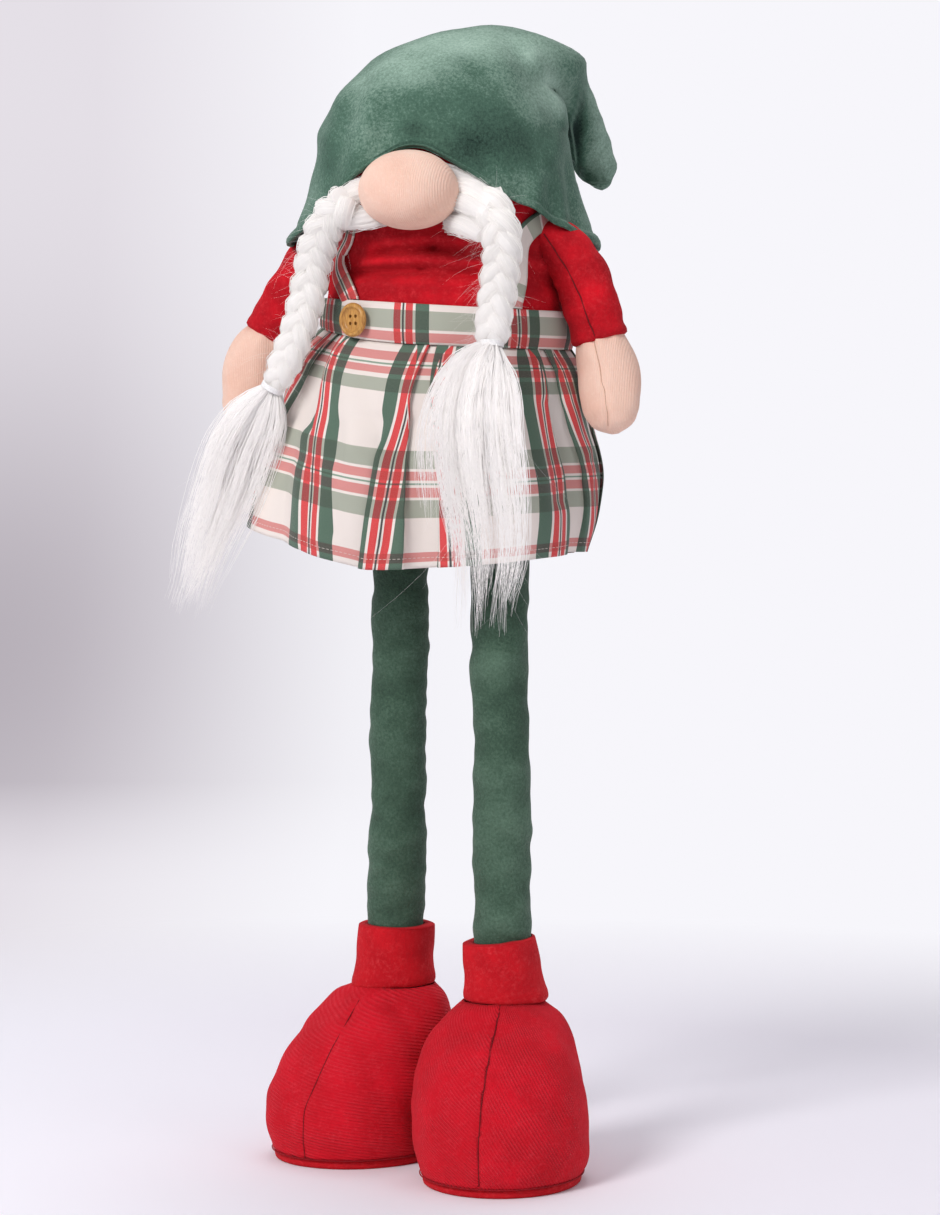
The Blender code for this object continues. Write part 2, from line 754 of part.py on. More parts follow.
def skirt_point(angle, place, share):
    """A point of the skirt's outside: place runs from -1 to 1 across the pleated panel."""
    wider, deeper, aside = through(SKIRT_PLAN, share)
    half_width = BODY_HALF_WIDTH + wider
    half_depth = BODY_HALF_DEPTH + deeper
    belly = (1.0 - abs(place) ** 2.4) - 0.35
    pleat = PLEAT_DEPTH * min(1.0, 1.6 * share) * belly
    if share <= SKIRT_ROWS[1]:
        pleat = 0.0
    beside_hand = math.exp(-(((math.degrees(angle) - 98.0) / 26.0) ** 2))
    dent = HAND_DENT * beside_hand * math.exp(-(((share - 0.36) / 0.16) ** 2))
    swell = pleat - dent
    top = band_foot(angle) - GAP
    height = top + (skirt_foot(angle) - top) * share
    return plan_point(angle, half_width + swell, half_depth + swell, height, (aside, 0.0))


def add_skirt():
    rows = []
    for share in SKIRT_ROWS:
        row = []
        for panel in range(PANELS):
            start = FIRST_FOLD + 2 * math.pi * panel / PANELS
            for place in PANEL_PLACES:
                middle = start + math.pi / PANELS * (place + 1.0)
                drift = FOLD_DRIFT * share * math.sin(middle - math.radians(15.0))
                row.append(skirt_point(middle + drift, place, share))
        rows.append(row)
    skirt = adopt("skirt", grid_mesh("skirt", rows, True), COTTON)
    thicken(skirt, CLOTH_THICKNESS, True)


add_skirt()


def strap_rows(track, grow):
    """Rows across a strap on the torso, along its track of (degrees round, height)."""
    rows = []
    steps = 16
    for step in range(steps + 1):
        t = step / steps
        angle, rise = through(track, t)
        next_angle, next_rise = through(track, min(t + 0.02, 1.0))
        last_angle, last_rise = through(track, max(t - 0.02, 0.0))
        run = math.radians(next_angle - last_angle) * BODY_HALF_WIDTH
        climb = next_rise - last_rise
        length = math.hypot(run, climb)
        row = []
        for offset in (-0.5, 0.5):
            aside = offset * (STRAP_WIDTH + 2 * grow)
            turn = aside * climb / length / BODY_HALF_WIDTH
            lift = -aside * run / length
            here = math.radians(angle) + turn
            height = WAIST + rise + lift
            if step in (0, steps):
                height = band_top(here) + GAP
            row.append(body_point(here, height, DRESS_FIT - grow))
        rows.append(row)
    return rows


def add_strap(side, track):
    """A strap from the band's front, over the shoulder and down to its back."""
    name = "strap_" + side
    strap = adopt(name, grid_mesh(name, strap_rows(track, 0.0), False), COTTON)
    thicken(strap, STRAP_THICKNESS, True)
    clear_mesh = grid_mesh("strap_clear_" + side, strap_rows(track, 2 * GAP), False)
    clear = adopt("strap_clear_" + side, clear_mesh, None, CUTTERS)
    thicken(clear, STRAP_THICKNESS + 4 * GAP, True)
    for piece in STRAP_NEIGHBOURS[side]:
        cut(piece, clear)


BAND_EDGE = BAND_WIDTH + GAP
STRAP_CREST = 0.0760
LEFT_TRACK = (
    (0.0, (-33.0, BAND_EDGE)),
    (0.15, (-38.0, BAND_EDGE + 0.015)),
    (0.30, (-44.0, BAND_EDGE + 0.038)),
    (0.50, (-90.0, STRAP_CREST)),
    (0.70, (-136.0, BAND_EDGE + 0.038)),
    (0.85, (-142.0, BAND_EDGE + 0.015)),
    (1.0, (-147.0, BAND_EDGE)),
)
RIGHT_TRACK = (
    (0.0, (48.0, BAND_EDGE)),
    (0.15, (52.0, BAND_EDGE + 0.015)),
    (0.30, (57.0, BAND_EDGE + 0.038)),
    (0.50, (90.0, STRAP_CREST)),
    (0.70, (130.0, BAND_EDGE + 0.038)),
    (0.85, (137.0, BAND_EDGE + 0.015)),
    (1.0, (142.0, BAND_EDGE)),
)
STRAP_NEIGHBOURS = {"left": (SLEEVE_LEFT, PLAIT_LEFT), "right": (SLEEVE_RIGHT, PLAIT_RIGHT)}
add_strap("left", LEFT_TRACK)
add_strap("right", RIGHT_TRACK)


# Button


def cylinder_mesh(name, radius, length, sides, place=(0.0, 0.0, 0.0)):
    shell = bmesh.new()
    bmesh.ops.create_cone(
        shell,
        cap_ends=True,
        segments=sides,
        radius1=radius,
        radius2=radius,
        depth=length,
        matrix=Matrix.Translation(place),
    )
    mesh = bpy.data.meshes.new(name)
    shell.to_mesh(mesh)
    shell.free()
    smooth(mesh)
    return mesh


def add_button():
    """A turned four-hole button on a short post of thread, on the band."""
    profile = (
        (0.0, BUTTON_THICKNESS - BUTTON_DISH),
        (BUTTON_RADIUS - BUTTON_RIM - 0.0010, BUTTON_THICKNESS - BUTTON_DISH),
        (BUTTON_RADIUS - BUTTON_RIM, BUTTON_THICKNESS - 0.0002),
        (BUTTON_RADIUS - BUTTON_RIM / 2, BUTTON_THICKNESS),
        (BUTTON_RADIUS - 0.0002, BUTTON_THICKNESS - 0.0006),
        (BUTTON_RADIUS, BUTTON_THICKNESS - 0.0013),
        (BUTTON_RADIUS - 0.0008, 0.0006),
        (BUTTON_RADIUS - 0.0020, 0.0),
        (0.0, 0.0),
    )
    mesh = bpy.data.meshes.new("button")
    points = [(radius, 0.0, height) for radius, height in profile]
    mesh.from_pydata(points, [(place, place + 1) for place in range(len(points) - 1)], [])
    button = adopt("button", mesh, WOOD)
    turned = button.modifiers.new("Turned", "SCREW")
    turned.steps = BUTTON_SIDES
    turned.render_steps = BUTTON_SIDES
    turned.use_merge_vertices = True
    turned.merge_threshold = 0.00001
    turned.use_smooth_shade = True
    for across in (-0.5, 0.5):
        for up in (-0.5, 0.5):
            place = (across * HOLE_SPACING, up * HOLE_SPACING, 0.0)
            bore = cylinder_mesh("hole", HOLE_RADIUS, 4 * BUTTON_THICKNESS, HOLE_SIDES, place)
            cutter = adopt("hole", bore, None, CUTTERS)
            cutter.parent = button
            cut(button, cutter)
    seat_height = WAIST + BUTTON_SHARE * BAND_WIDTH
    seat = body_point(BUTTON_ANGLE, seat_height, DRESS_FIT + BAND_THICKNESS)
    beside = body_point(BUTTON_ANGLE + 0.05, seat_height, DRESS_FIT + BAND_THICKNESS)
    outward = (beside - seat).cross(Vector((0, 0, 1))).normalized()
    post = adopt("button_post", cylinder_mesh("button_post", POST_RADIUS, POST_LENGTH, 12), THREADS)
    facing = outward.to_track_quat("Z", "Y").to_euler()
    post.rotation_euler = facing
    post.location = seat + outward * (2 * GAP + POST_LENGTH / 2)
    button.rotation_euler = facing
    button.location = seat + outward * (3 * GAP + POST_LENGTH)


add_button()


# Legs and boots


DISC_FOOT = SOLE_THICKNESS + GAP
CORE_FOOT = DISC_FOOT + DISC_THICKNESS + GAP
LEG_FOOT = BOOT_HEIGHT - LEG_IN_BOOT
BODY_FOOT = WAIST - BODY_BELOW_WAIST


def tube_along(name, route, radius, sides_level, material, collection=PARTS):
    """A round bar along a route as a bevelled curve, made a mesh so that it can be cut."""
    curve = bpy.data.curves.new(name, "CURVE")
    curve.dimensions = "3D"
    curve.bevel_depth = radius
    curve.bevel_resolution = sides_level
    curve.use_fill_caps = True
    line = curve.splines.new("POLY")
    line.points.add(len(route) - 1)
    for point, place in zip(line.points, route):
        point.co = (*place, 1.0)
    guide = bpy.data.objects.new(name + "_curve", curve)
    SCENE.collection.objects.link(guide)
    graph = bpy.context.evaluated_depsgraph_get()
    mesh = bpy.data.meshes.new_from_object(guide.evaluated_get(graph))
    bpy.data.objects.remove(guide)
    shell = bmesh.new()
    shell.from_mesh(mesh)
    bmesh.ops.remove_doubles(shell, verts=shell.verts, dist=0.00001)
    bmesh.ops.recalc_face_normals(shell, faces=shell.faces)
    shell.to_mesh(mesh)
    shell.free()
    mesh.name = name
    smooth(mesh)
    return adopt(name, mesh, material, collection)


def leg_route(leg, foot, above):
    """Points up the leg: upright in the boot, then leaning in to the hip."""
    ankle = Vector((leg[0], leg[1], BOOT_HEIGHT + CUFF_HEIGHT + ANKLE_RISE))
    hip_height = BODY_FOOT + CORE_IN_BODY + above
    hip = Vector((math.copysign(HIP_ASIDE, leg[0]), leg[1] * HIP_SHARE, hip_height))
    leaning = [tuple(ankle.lerp(hip, place)) for place in (0.0, 0.3, 0.65, 1.0)]
    return [(leg[0], leg[1], foot)] + leaning


# Boot: share of the height, then shares of the half width and of the toe's and the heel's reach
BOOT_SHAPE = (
    (0.00, (0.940, 0.960, 0.950)),
    (0.10, (0.995, 0.998, 0.990)),
    (0.24, (1.000, 1.000, 1.000)),
    (0.42, (0.980, 0.935, 0.975)),
    (0.62, (0.905, 0.800, 0.920)),
    (0.80, (0.790, 0.620, 0.830)),
    (0.92, (0.640, 0.430, 0.730)),
    (1.00, (0.450, 0.272, 0.600)),
)
BOOT_ROWS = (0.0, 0.10, 0.28, 0.52, 0.78, 1.0)
BAG_ROWS = (0.0, 0.25, 0.60, 1.0)


def boot_outline(share, inset, lean):
    """Plan of the boot at a share of its height: toe along -Y, wide ball and narrower heel."""
    wide, toe, heel = through(BOOT_SHAPE, share)
    half_width = BOOT_HALF_WIDTH * wide - inset
    front = BOOT_TOE_REACH * toe - inset
    back = BOOT_HEEL_REACH * heel - inset
    aside = lean * (1.0 - share)
    narrowing = HEEL_NARROWING * (1.0 - share)
    points = []
    for angle in angles(BOOT_POINTS):
        rear = (1.0 - math.cos(angle)) / 2
        x = half_width * math.sin(angle) * (1.0 - narrowing * rear * rear) + aside
        y = (back - front) / 2 - (front + back) / 2 * math.cos(angle)
        points.append((x, y))
    return points


def boot_rings(inset, lean, rows, foot, top, slack=0.0):
    """Rings of the boot's plan: slack is the further inset where the wall slopes most."""
    rings = []
    for share in rows:
        height = foot + (top - foot) * share
        whole = (height - DISC_FOOT) / (BOOT_HEIGHT - DISC_FOOT)
        outline = boot_outline(whole, inset + slack * whole * whole, lean)
        rings.append([(x, y, height) for x, y in outline])
    return rings


def place_boot_piece(thing, leg, turn):
    thing.location = (leg[0], leg[1], 0.0)
    thing.rotation_euler = (0.0, 0.0, turn)


def add_boot(side, leg, turn, lean):
    """Sole, upper, cuff, ballast, disc, core and leg cover of one leg."""
    outline = bpy.data.curves.new("boot_sole_" + side, "CURVE")
    outline.dimensions = "2D"
    outline.fill_mode = "BOTH"
    outline.extrude = SOLE_THICKNESS / 2 - SOLE_BEVEL
    outline.bevel_depth = SOLE_BEVEL
    outline.bevel_resolution = 0
    line = outline.splines.new("POLY")
    line.points.add(BOOT_POINTS - 1)
    for point, (x, y) in zip(line.points, boot_outline(0.0, 0.0, lean)):
        point.co = (x, y, 0.0, 1.0)
    line.use_cyclic_u = True
    sole = adopt("boot_sole_" + side, outline, FELT)
    place_boot_piece(sole, leg, turn)
    sole.location.z = SOLE_THICKNESS / 2

    name = "boot_upper_" + side
    rows = boot_rings(0.0, lean, BOOT_ROWS, DISC_FOOT, BOOT_HEIGHT)
    upper = adopt(name, grid_mesh(name, rows, True), FELT)
    thicken(upper, BOOT_WALL, False)
    place_boot_piece(upper, leg, turn)

    cuff_bore = (LEG_RADIUS + GAP) / math.cos(math.pi / CUFF_SIDES)
    cuff_profile = (
        (CUFF_RADIUS - 0.0012, BOOT_HEIGHT + CUFF_HEIGHT),
        (CUFF_RADIUS - 0.0002, BOOT_HEIGHT + CUFF_HEIGHT - 0.0012),
        (CUFF_RADIUS, BOOT_HEIGHT + 0.6 * CUFF_HEIGHT),
        (CUFF_RADIUS + 0.0008, BOOT_HEIGHT + 0.0050),
        (CUFF_RADIUS + 0.0006, BOOT_HEIGHT + 0.0015),
        (CUFF_RADIUS - 0.0006, BOOT_HEIGHT + GAP),
        (cuff_bore, BOOT_HEIGHT + GAP),
        (cuff_bore, BOOT_HEIGHT + CUFF_HEIGHT),
    )
    mesh = bpy.data.meshes.new("boot_cuff_" + side)
    points = [(radius, 0.0, height) for radius, height in cuff_profile]
    count = len(points)
    mesh.from_pydata(points, [(place, (place + 1) % count) for place in range(count)], [])
    cuff = adopt("boot_cuff_" + side, mesh, FELT)
    place_boot_piece(cuff, leg, turn)
    turned = cuff.modifiers.new("Turned", "SCREW")
    turned.steps = CUFF_SIDES
    turned.render_steps = CUFF_SIDES
    turned.use_merge_vertices = True
    turned.merge_threshold = 0.00001
    turned.use_smooth_shade = True

    name = "foot_disc_" + side
    disc = adopt(name, cylinder_mesh(name, DISC_RADIUS, DISC_THICKNESS, 20), TUBE)
    disc.location = (leg[0], leg[1], DISC_FOOT + DISC_THICKNESS / 2)

    name = "ballast_bag_" + side
    inset = BOOT_WALL + BAG_FIT
    rings = boot_rings(inset, lean, BAG_ROWS, CORE_FOOT, LEG_FOOT - GAP, BAG_SLACK)
    ballast = adopt(name, lofted(name, rings), BAG)
    place_boot_piece(ballast, leg, turn)

    tube_along("leg_core_" + side, leg_route(leg, CORE_FOOT, 0.0), CORE_RADIUS, 2, TUBE)
    hollow = leg_route(leg, CORE_FOOT - DISC_THICKNESS, GAP)
    core_clear = tube_along("core_clear_" + side, hollow, CORE_RADIUS + 2 * GAP, 2, None, CUTTERS)
    cover = tube_along("leg_cover_" + side, leg_route(leg, LEG_FOOT, 0.0), LEG_RADIUS, 3, VELVET)
    cut(cover, BODY_CLEAR)
    cut(cover, core_clear)
    cut(BODY, core_clear)
    cut(ballast, core_clear)


add_boot("left", LEFT_LEG, LEFT_TOE_TURN, 0.0)
add_boot("right", RIGHT_LEG, RIGHT_TOE_TURN, RIGHT_BOOT_LEAN)
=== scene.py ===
"""The looks of the standing plush gnome: cloth, plush, felt, plaits, tassels and stitching.

Forms are worked out as grids of points in the figure's own frame, where z = 0 is the floor and
the figure looks along -Y, and then moved by FIGURE to the row's frame. Lengths are in metres.
"""

import math

import bmesh
import bpy
import numpy as np
from mathutils import Matrix, Vector


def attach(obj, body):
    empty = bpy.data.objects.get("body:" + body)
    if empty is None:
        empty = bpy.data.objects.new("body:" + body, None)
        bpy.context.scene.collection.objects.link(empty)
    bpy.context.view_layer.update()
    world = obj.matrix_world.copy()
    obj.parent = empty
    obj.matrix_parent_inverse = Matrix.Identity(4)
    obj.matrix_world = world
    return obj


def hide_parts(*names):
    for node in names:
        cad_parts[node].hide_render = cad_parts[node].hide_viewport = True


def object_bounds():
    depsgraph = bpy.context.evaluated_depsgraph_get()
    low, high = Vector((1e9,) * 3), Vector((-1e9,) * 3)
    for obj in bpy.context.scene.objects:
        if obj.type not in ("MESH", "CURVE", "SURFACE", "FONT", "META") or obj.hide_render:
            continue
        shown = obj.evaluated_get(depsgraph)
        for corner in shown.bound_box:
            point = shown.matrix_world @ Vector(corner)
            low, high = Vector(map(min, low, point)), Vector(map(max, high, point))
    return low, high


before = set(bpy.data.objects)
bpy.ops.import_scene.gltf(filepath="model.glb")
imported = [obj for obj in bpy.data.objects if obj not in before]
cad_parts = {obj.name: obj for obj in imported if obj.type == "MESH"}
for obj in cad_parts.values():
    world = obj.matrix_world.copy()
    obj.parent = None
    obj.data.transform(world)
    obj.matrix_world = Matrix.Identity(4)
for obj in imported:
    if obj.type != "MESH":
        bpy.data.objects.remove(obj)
CAD_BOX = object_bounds()

FIGURE = np.array([0.0105, 0.0089, 0.0])
BODY = "root"

# Heights and sizes, as in the part
WAIST = 0.4925
BOOT_TOP = 0.1025
CUFF_HEIGHT = 0.0365
SOLE_THICKNESS = 0.0055
BODY_HALF_WIDTH = 0.0735
BODY_HALF_DEPTH = 0.058
BAND_WIDTH = 0.0235
SKIRT_LENGTH = 0.130
BRIM = WAIST + 0.0565
CROWN = WAIST + 0.1255
HAT_TURN = math.radians(20.0)

# The photograph's view, in the figure's frame
VIEW_TURN = math.radians(20.0)
VIEW_PITCH = math.radians(3.75)
VIEW_DISTANCE = 2.20
VIEW_HEIGHT = 0.48
VIEW_ASIDE = 0.0137
PHOTO_WIDTH = 940
PHOTO_HEIGHT = 1215
FOCAL_PIXELS = 3691.0
SENSOR = 36.0

RIGHT = np.array([math.cos(VIEW_TURN), math.sin(VIEW_TURN), 0.0])
TOWARDS = np.array([math.sin(VIEW_TURN), -math.cos(VIEW_TURN), 0.0])
UPWARDS = np.array([0.0, 0.0, 1.0])
FRONT = np.array([0.0, -1.0, 0.0])
EYE = RIGHT * VIEW_ASIDE + TOWARDS * VIEW_DISTANCE + UPWARDS * VIEW_HEIGHT
SIGHT = -TOWARDS * math.cos(VIEW_PITCH) - UPWARDS * math.sin(VIEW_PITCH)
VIEW_UP = -TOWARDS * math.sin(VIEW_PITCH) + UPWARDS * math.cos(VIEW_PITCH)


# Waves added up in a swell, metres from rib to rib, millimetres from thread to thread, frames of plumping
WAVES = 9
RIB_SPACING = 0.0019
THREAD_SPACING = 0.42
PLUMP_FRAMES = 20
WHITE = (1, 1, 1, 1)


# Helpers for forms


def photo_xy(points):
    """Where points of the figure lie in the photograph's frame, in its pixels."""
    away = np.asarray(points, float) - EYE
    depth = away @ SIGHT
    x = PHOTO_WIDTH / 2 + FOCAL_PIXELS * (away @ RIGHT) / depth
    y = PHOTO_HEIGHT / 2 - FOCAL_PIXELS * (away @ VIEW_UP) / depth
    return np.stack([x, y], axis=-1)


def through(stations, places):
    """Smooth curve through (place, value) stations, at an array of places."""
    knots = np.array([station[0] for station in stations], float)
    values = np.array([np.atleast_1d(station[1]) for station in stations], float)
    slopes = np.gradient(values, knots, axis=0)
    places = np.clip(np.asarray(places, float), knots[0], knots[-1])
    before = np.clip(np.searchsorted(knots, places, side="right") - 1, 0, len(knots) - 2)
    span = (knots[before + 1] - knots[before])[..., None]
    t = (places - knots[before])[..., None] / span
    start = values[before] * (2 * t**3 - 3 * t**2 + 1) + slopes[before] * span * (t**3 - 2 * t**2 + t)
    finish = values[before + 1] * (3 * t**2 - 2 * t**3) + slopes[before + 1] * span * (t**3 - t**2)
    return start + finish


def stations_of(values):
    """Values at even places from 0 to 1, for through."""
    return [(place / (len(values) - 1), value) for place, value in enumerate(values)]


def waves(points, size, seed, stretch=(1, 1, 1)):
    """Smooth unevenness from -1 to 1, its swells about one size across, longer where stretch is small."""
    draw = np.random.default_rng(seed)
    points = points * np.array(stretch)
    total = np.zeros(points.shape[:-1])
    for _ in range(WAVES):
        way = draw.normal(size=3)
        way = way / np.linalg.norm(way) * (2 * math.pi / size) * draw.uniform(0.5, 1.4)
        total += np.sin(points @ way + draw.uniform(0, 2 * math.pi))
    return total / math.sqrt(WAVES)


def unit(vectors, least=0.0):
    """The vectors with a length of one."""
    return vectors / np.maximum(np.linalg.norm(vectors, axis=-1, keepdims=True), least)


def row_centres(grid):
    return grid.mean(axis=1, keepdims=True)


def grid_normals(grid):
    """Unit normals of a grid of closed rings, turned away from the middles of its rows."""
    across = np.roll(grid, -1, axis=1) - np.roll(grid, 1, axis=1)
    normals = unit(np.cross(across, np.gradient(grid, axis=0)), 1e-12)
    return normals * np.sign((normals * (grid - row_centres(grid))).sum())


def seen(points, normals):
    """1 where a point faces the photograph's view, falling to 0 at the outline."""
    return np.clip((normals * unit(EYE - points)).sum(axis=-1) / 0.35, 0, 1)


def line_across(places, line):
    """How far to the right a line of the photograph lies, at the heights of the places."""
    across, down = zip(*line)
    return np.interp(places[..., 1], down, across)


def squared_distance(places, line):
    """The squared distance in pixels from places to a line through several points."""
    nearest = np.full(places.shape[:-1], np.inf)
    for start, end in zip(line[:-1], line[1:]):
        start = np.array(start, float)
        run = np.array(end, float) - start
        length = max(float(run @ run), 1e-6)
        along = np.clip(((places - start) @ run) / length, 0, 1)
        off = places - start - along[..., None] * run
        nearest = np.minimum(nearest, (off**2).sum(axis=-1))
    return nearest


def worked(grid, normals, marks):
    """Moves points along their normals by folds given as (points..., height in mm, width) in pixels."""
    places = photo_xy(grid)
    facing = seen(grid, normals)
    height = np.zeros(grid.shape[:-1])
    for *line, rise, width in marks:
        height += rise / 1000 * np.exp(-squared_distance(places, line) / width**2)
    return grid + normals * (height * facing)[..., None]


def furrow(line, depth, narrow, rise, wide):
    """Marks for worked: a seam's furrow and the cloth that stands up beside it; none without a line."""
    return [(*line, -depth, narrow), (*line, rise, wide)] if line else []


def set_back(grid, line, depth, width):
    """Pushes what lies right of a line of the photograph away from the viewer, as far as the line runs."""
    places = photo_xy(grid)
    behind = np.clip((places[..., 0] - line_across(places, line)) / width, 0, 1)
    top, foot = line[0][1], line[-1][1]
    within = np.interp(places[..., 1], [top, top + 18, foot - 4, foot], [0, 1, 1, 0], 0, 0)
    return grid - TOWARDS * (depth * behind * within)[..., None]


def relaxed(rows, rounds):
    """Smooths a run of points or rows in place, its two ends fixed."""
    for _ in range(rounds):
        rows[1:-1] = (rows[:-2] + 2 * rows[1:-1] + rows[2:]) / 4
    return rows


def along_line(grid, normals, line, lift=0.0):
    """Points of a grid's rows that lie on a line of the photograph, on the side that faces the viewer."""
    places = photo_xy(grid)
    edge = line_across(places, line)
    off = np.abs(places[..., 0] - edge) + 1000 * (seen(grid, normals) < 0.1)
    spots = []
    for row in range(len(grid)):
        column = int(np.argmin(off[row]))
        x, y = places[row, column]
        if off[row, column] > 6 or not line[0][1] <= y <= line[-1][1]:
            continue
        beside = (column + (1 if x < edge[row, column] else -1)) % grid.shape[1]
        gap = places[row, beside, 0] - x
        share = 0.0 if abs(gap) < 1e-6 else np.clip((edge[row, column] - x) / gap, 0, 1)
        point = grid[row, column] * (1 - share) + grid[row, beside] * share
        spots.append(point + normals[row, column] * lift)
    return relaxed(np.array(spots), 8)


def patches(points, normals, marks):
    """Sum of soft patches (x, y, strength, radius across, radius down) in pixels, where seen."""
    places = photo_xy(points)
    total = np.zeros(points.shape[:-1])
    for x, y, strength, wide, tall in marks:
        off = ((places[..., 0] - x) / wide) ** 2 + ((places[..., 1] - y) / tall) ** 2
        total += strength * np.exp(-off)
    return total * seen(points, normals)


def store(mesh, name, values):
    """Keeps a value for each point of a mesh, for its material."""
    field = mesh.attributes.new(name, "FLOAT", "POINT")
    field.data.foreach_set("value", values.astype(np.float32))


def closed_mesh(name, layers, uv=None, facts=None, ring=True):
    """A closed mesh of one grid with filled ends, or of an outer and an inner grid joined at their rims."""
    outer = layers[0]
    rows, columns = outer.shape[:2]
    points = [layer.reshape(-1, 3) + FIGURE for layer in layers]
    faces = []
    size = rows * columns

    def join(first, second):
        for column in range(columns if ring else columns - 1):
            beside = (column + 1) % columns
            faces.append((first + column, first + beside, second + beside, second + column))

    for level in range(len(layers)):
        for row in range(rows - 1):
            corner = level * size + row * columns
            join(corner, corner + columns)
    for row in (0, rows - 1):
        edge = row * columns
        if len(layers) == 2:
            join(edge, size + edge)
        else:
            middle = sum(len(block) for block in points)
            points.append(outer[row].mean(axis=0, keepdims=True) + FIGURE)
            faces += [(edge + column, edge + (column + 1) % columns, middle) for column in range(columns)]
    if not ring:
        for column in (0, columns - 1):
            for edge in range(column, size - columns, columns):
                faces.append((edge, edge + columns, size + edge + columns, size + edge))
    mesh = bpy.data.meshes.new(name)
    mesh.from_pydata(np.concatenate(points).tolist(), [], faces)
    if uv is not None:
        flat_left, flat_right = (side.reshape(-1, 2) for side in uv)
        values = np.zeros((len(mesh.loops), 2))
        for face, polygon in zip(faces, mesh.polygons):
            first = face[0] % size
            for place, corner in enumerate(face):
                spot = corner % size
                own_column = spot % columns == first % columns
                values[polygon.loop_start + place] = flat_left[spot] if own_column else flat_right[spot]
        mesh.uv_layers.new(name="cloth").data.foreach_set("uv", values.ravel())
    for fact, value in (facts or {}).items():
        flat = np.concatenate([value.ravel()] * len(layers))
        store(mesh, fact, np.concatenate([flat, np.zeros(len(mesh.vertices) - len(flat))]))
    shell = bmesh.new()
    shell.from_mesh(mesh)
    bmesh.ops.recalc_face_normals(shell, faces=shell.faces)
    shell.to_mesh(mesh)
    shell.free()
    mesh.shade_smooth()
    return mesh


def placed(name, data):
    """A new object in the scene."""
    thing = bpy.data.objects.new(name, data)
    bpy.context.scene.collection.objects.link(thing)
    return thing


def formed(name, layers, material, slot, replaced, fill=None, **more):
    """A finished piece from its grids, with what closed_mesh takes more."""
    return piece(name, closed_mesh(name, layers, **more), material, replaced)


def piece(name, mesh, material, replaced=()):
    """A finished piece that rides on the figure."""
    thing = placed(name, mesh)
    mesh.materials.clear()
    mesh.materials.append(material)
    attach(thing, BODY)
    if replaced:
        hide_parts(*replaced)
    return thing


def plumped(mesh, cap=0.0008, pressure=2.0):
    """The same mesh, swelled as filled cloth by a short simulation, no point moved past the cap."""
    scene = bpy.context.scene
    stuffed = placed("stuffed", mesh)
    before = np.empty(len(mesh.vertices) * 3)
    after = before.copy()
    mesh.vertices.foreach_get("co", before)
    cloth = stuffed.modifiers.new("Cloth", "CLOTH")
    cloth.settings.use_pressure = True
    cloth.settings.uniform_pressure_force = pressure
    cloth.settings.effector_weights.gravity = 0.0
    cloth.settings.quality = 5
    cloth.point_cache.frame_start = 1
    cloth.point_cache.frame_end = PLUMP_FRAMES
    for step in range(1, PLUMP_FRAMES + 1):
        scene.frame_set(step)
    swelled = stuffed.evaluated_get(bpy.context.evaluated_depsgraph_get())
    swelled.data.vertices.foreach_get("co", after)
    moved = (after - before).reshape(-1, 3)
    length = np.linalg.norm(moved, axis=1, keepdims=True)
    moved *= np.minimum(1.0, cap / np.maximum(length, 1e-9))
    mesh.vertices.foreach_set("co", (before.reshape(-1, 3) + moved).ravel())
    bpy.data.objects.remove(stuffed)
    scene.frame_set(1)
    return mesh


# Helpers for materials


def add(tree, kind, values=None, **settings):
    """A node with its settings, and its inputs set or linked by name or number."""
    node = tree.nodes.new(kind)
    for setting, value in settings.items():
        setattr(node, setting, value)
    for key, value in (values or {}).items():
        socket = node.inputs[key]
        if isinstance(value, bpy.types.NodeSocket):
            tree.links.new(value, socket)
        else:
            socket.default_value = value
    return node


def out(node, key=0):
    return node.outputs[key]


def maths(tree, operation, first, second=0.0, third=0.0):
    return out(add(tree, "ShaderNodeMath", {0: first, 1: second, 2: third}, operation=operation))


def times(tree, first, second):
    return maths(tree, "MULTIPLY", first, second)


def plus(tree, first, second):
    return maths(tree, "ADD", first, second)


def mixed(tree, share, first, second, blend="MIX"):
    values = {0: share, 6: first, 7: second}
    return out(add(tree, "ShaderNodeMix", values, data_type="RGBA", blend_type=blend), 2)


def laid_over(tree, share, under, over):
    """One shader over another."""
    return add(tree, "ShaderNodeMixShader", {0: share, 1: out(under), 2: out(over)})


def noise(tree, place, size, detail=2.0, roughness=0.5):
    values = {"Vector": place, "Scale": 1.0 / size, "Detail": detail, "Roughness": roughness}
    return out(add(tree, "ShaderNodeTexNoise", values))


def spread(tree, value, low, high, new_low=0.0, new_high=1.0):
    values = {0: value, 1: low, 2: high, 3: new_low, 4: new_high}
    return out(add(tree, "ShaderNodeMapRange", values))


def srgb(red, green, blue):
    """A colour as a maker reads it off, 0 to 255, for a shader."""
    shades = []
    for value in (red, green, blue):
        share = value / 255
        shades.append(share / 12.92 if share <= 0.04045 else ((share + 0.055) / 1.055) ** 2.4)
    return (*shades, 1.0)


def begin(name, roughness, sheen=0.0, sheen_tint=WHITE, sheen_roughness=0.5):
    material = bpy.data.materials.new(name)
    material.use_nodes = True
    tree = material.node_tree
    shader = tree.nodes["Principled BSDF"]
    looks = (("Roughness", roughness), ("Sheen Weight", sheen), ("Sheen Tint", sheen_tint))
    for key, value in (*looks, ("Sheen Roughness", sheen_roughness), ("Specular IOR Level", 0.25)):
        shader.inputs[key].default_value = value
    return material, tree, shader


def ended(tree, shader, kind="OUTPUT_MATERIAL"):
    """Makes that shader the one that the tree shows."""
    end = next(node for node in tree.nodes if node.type == kind)
    tree.links.new(out(shader), end.inputs["Surface"])


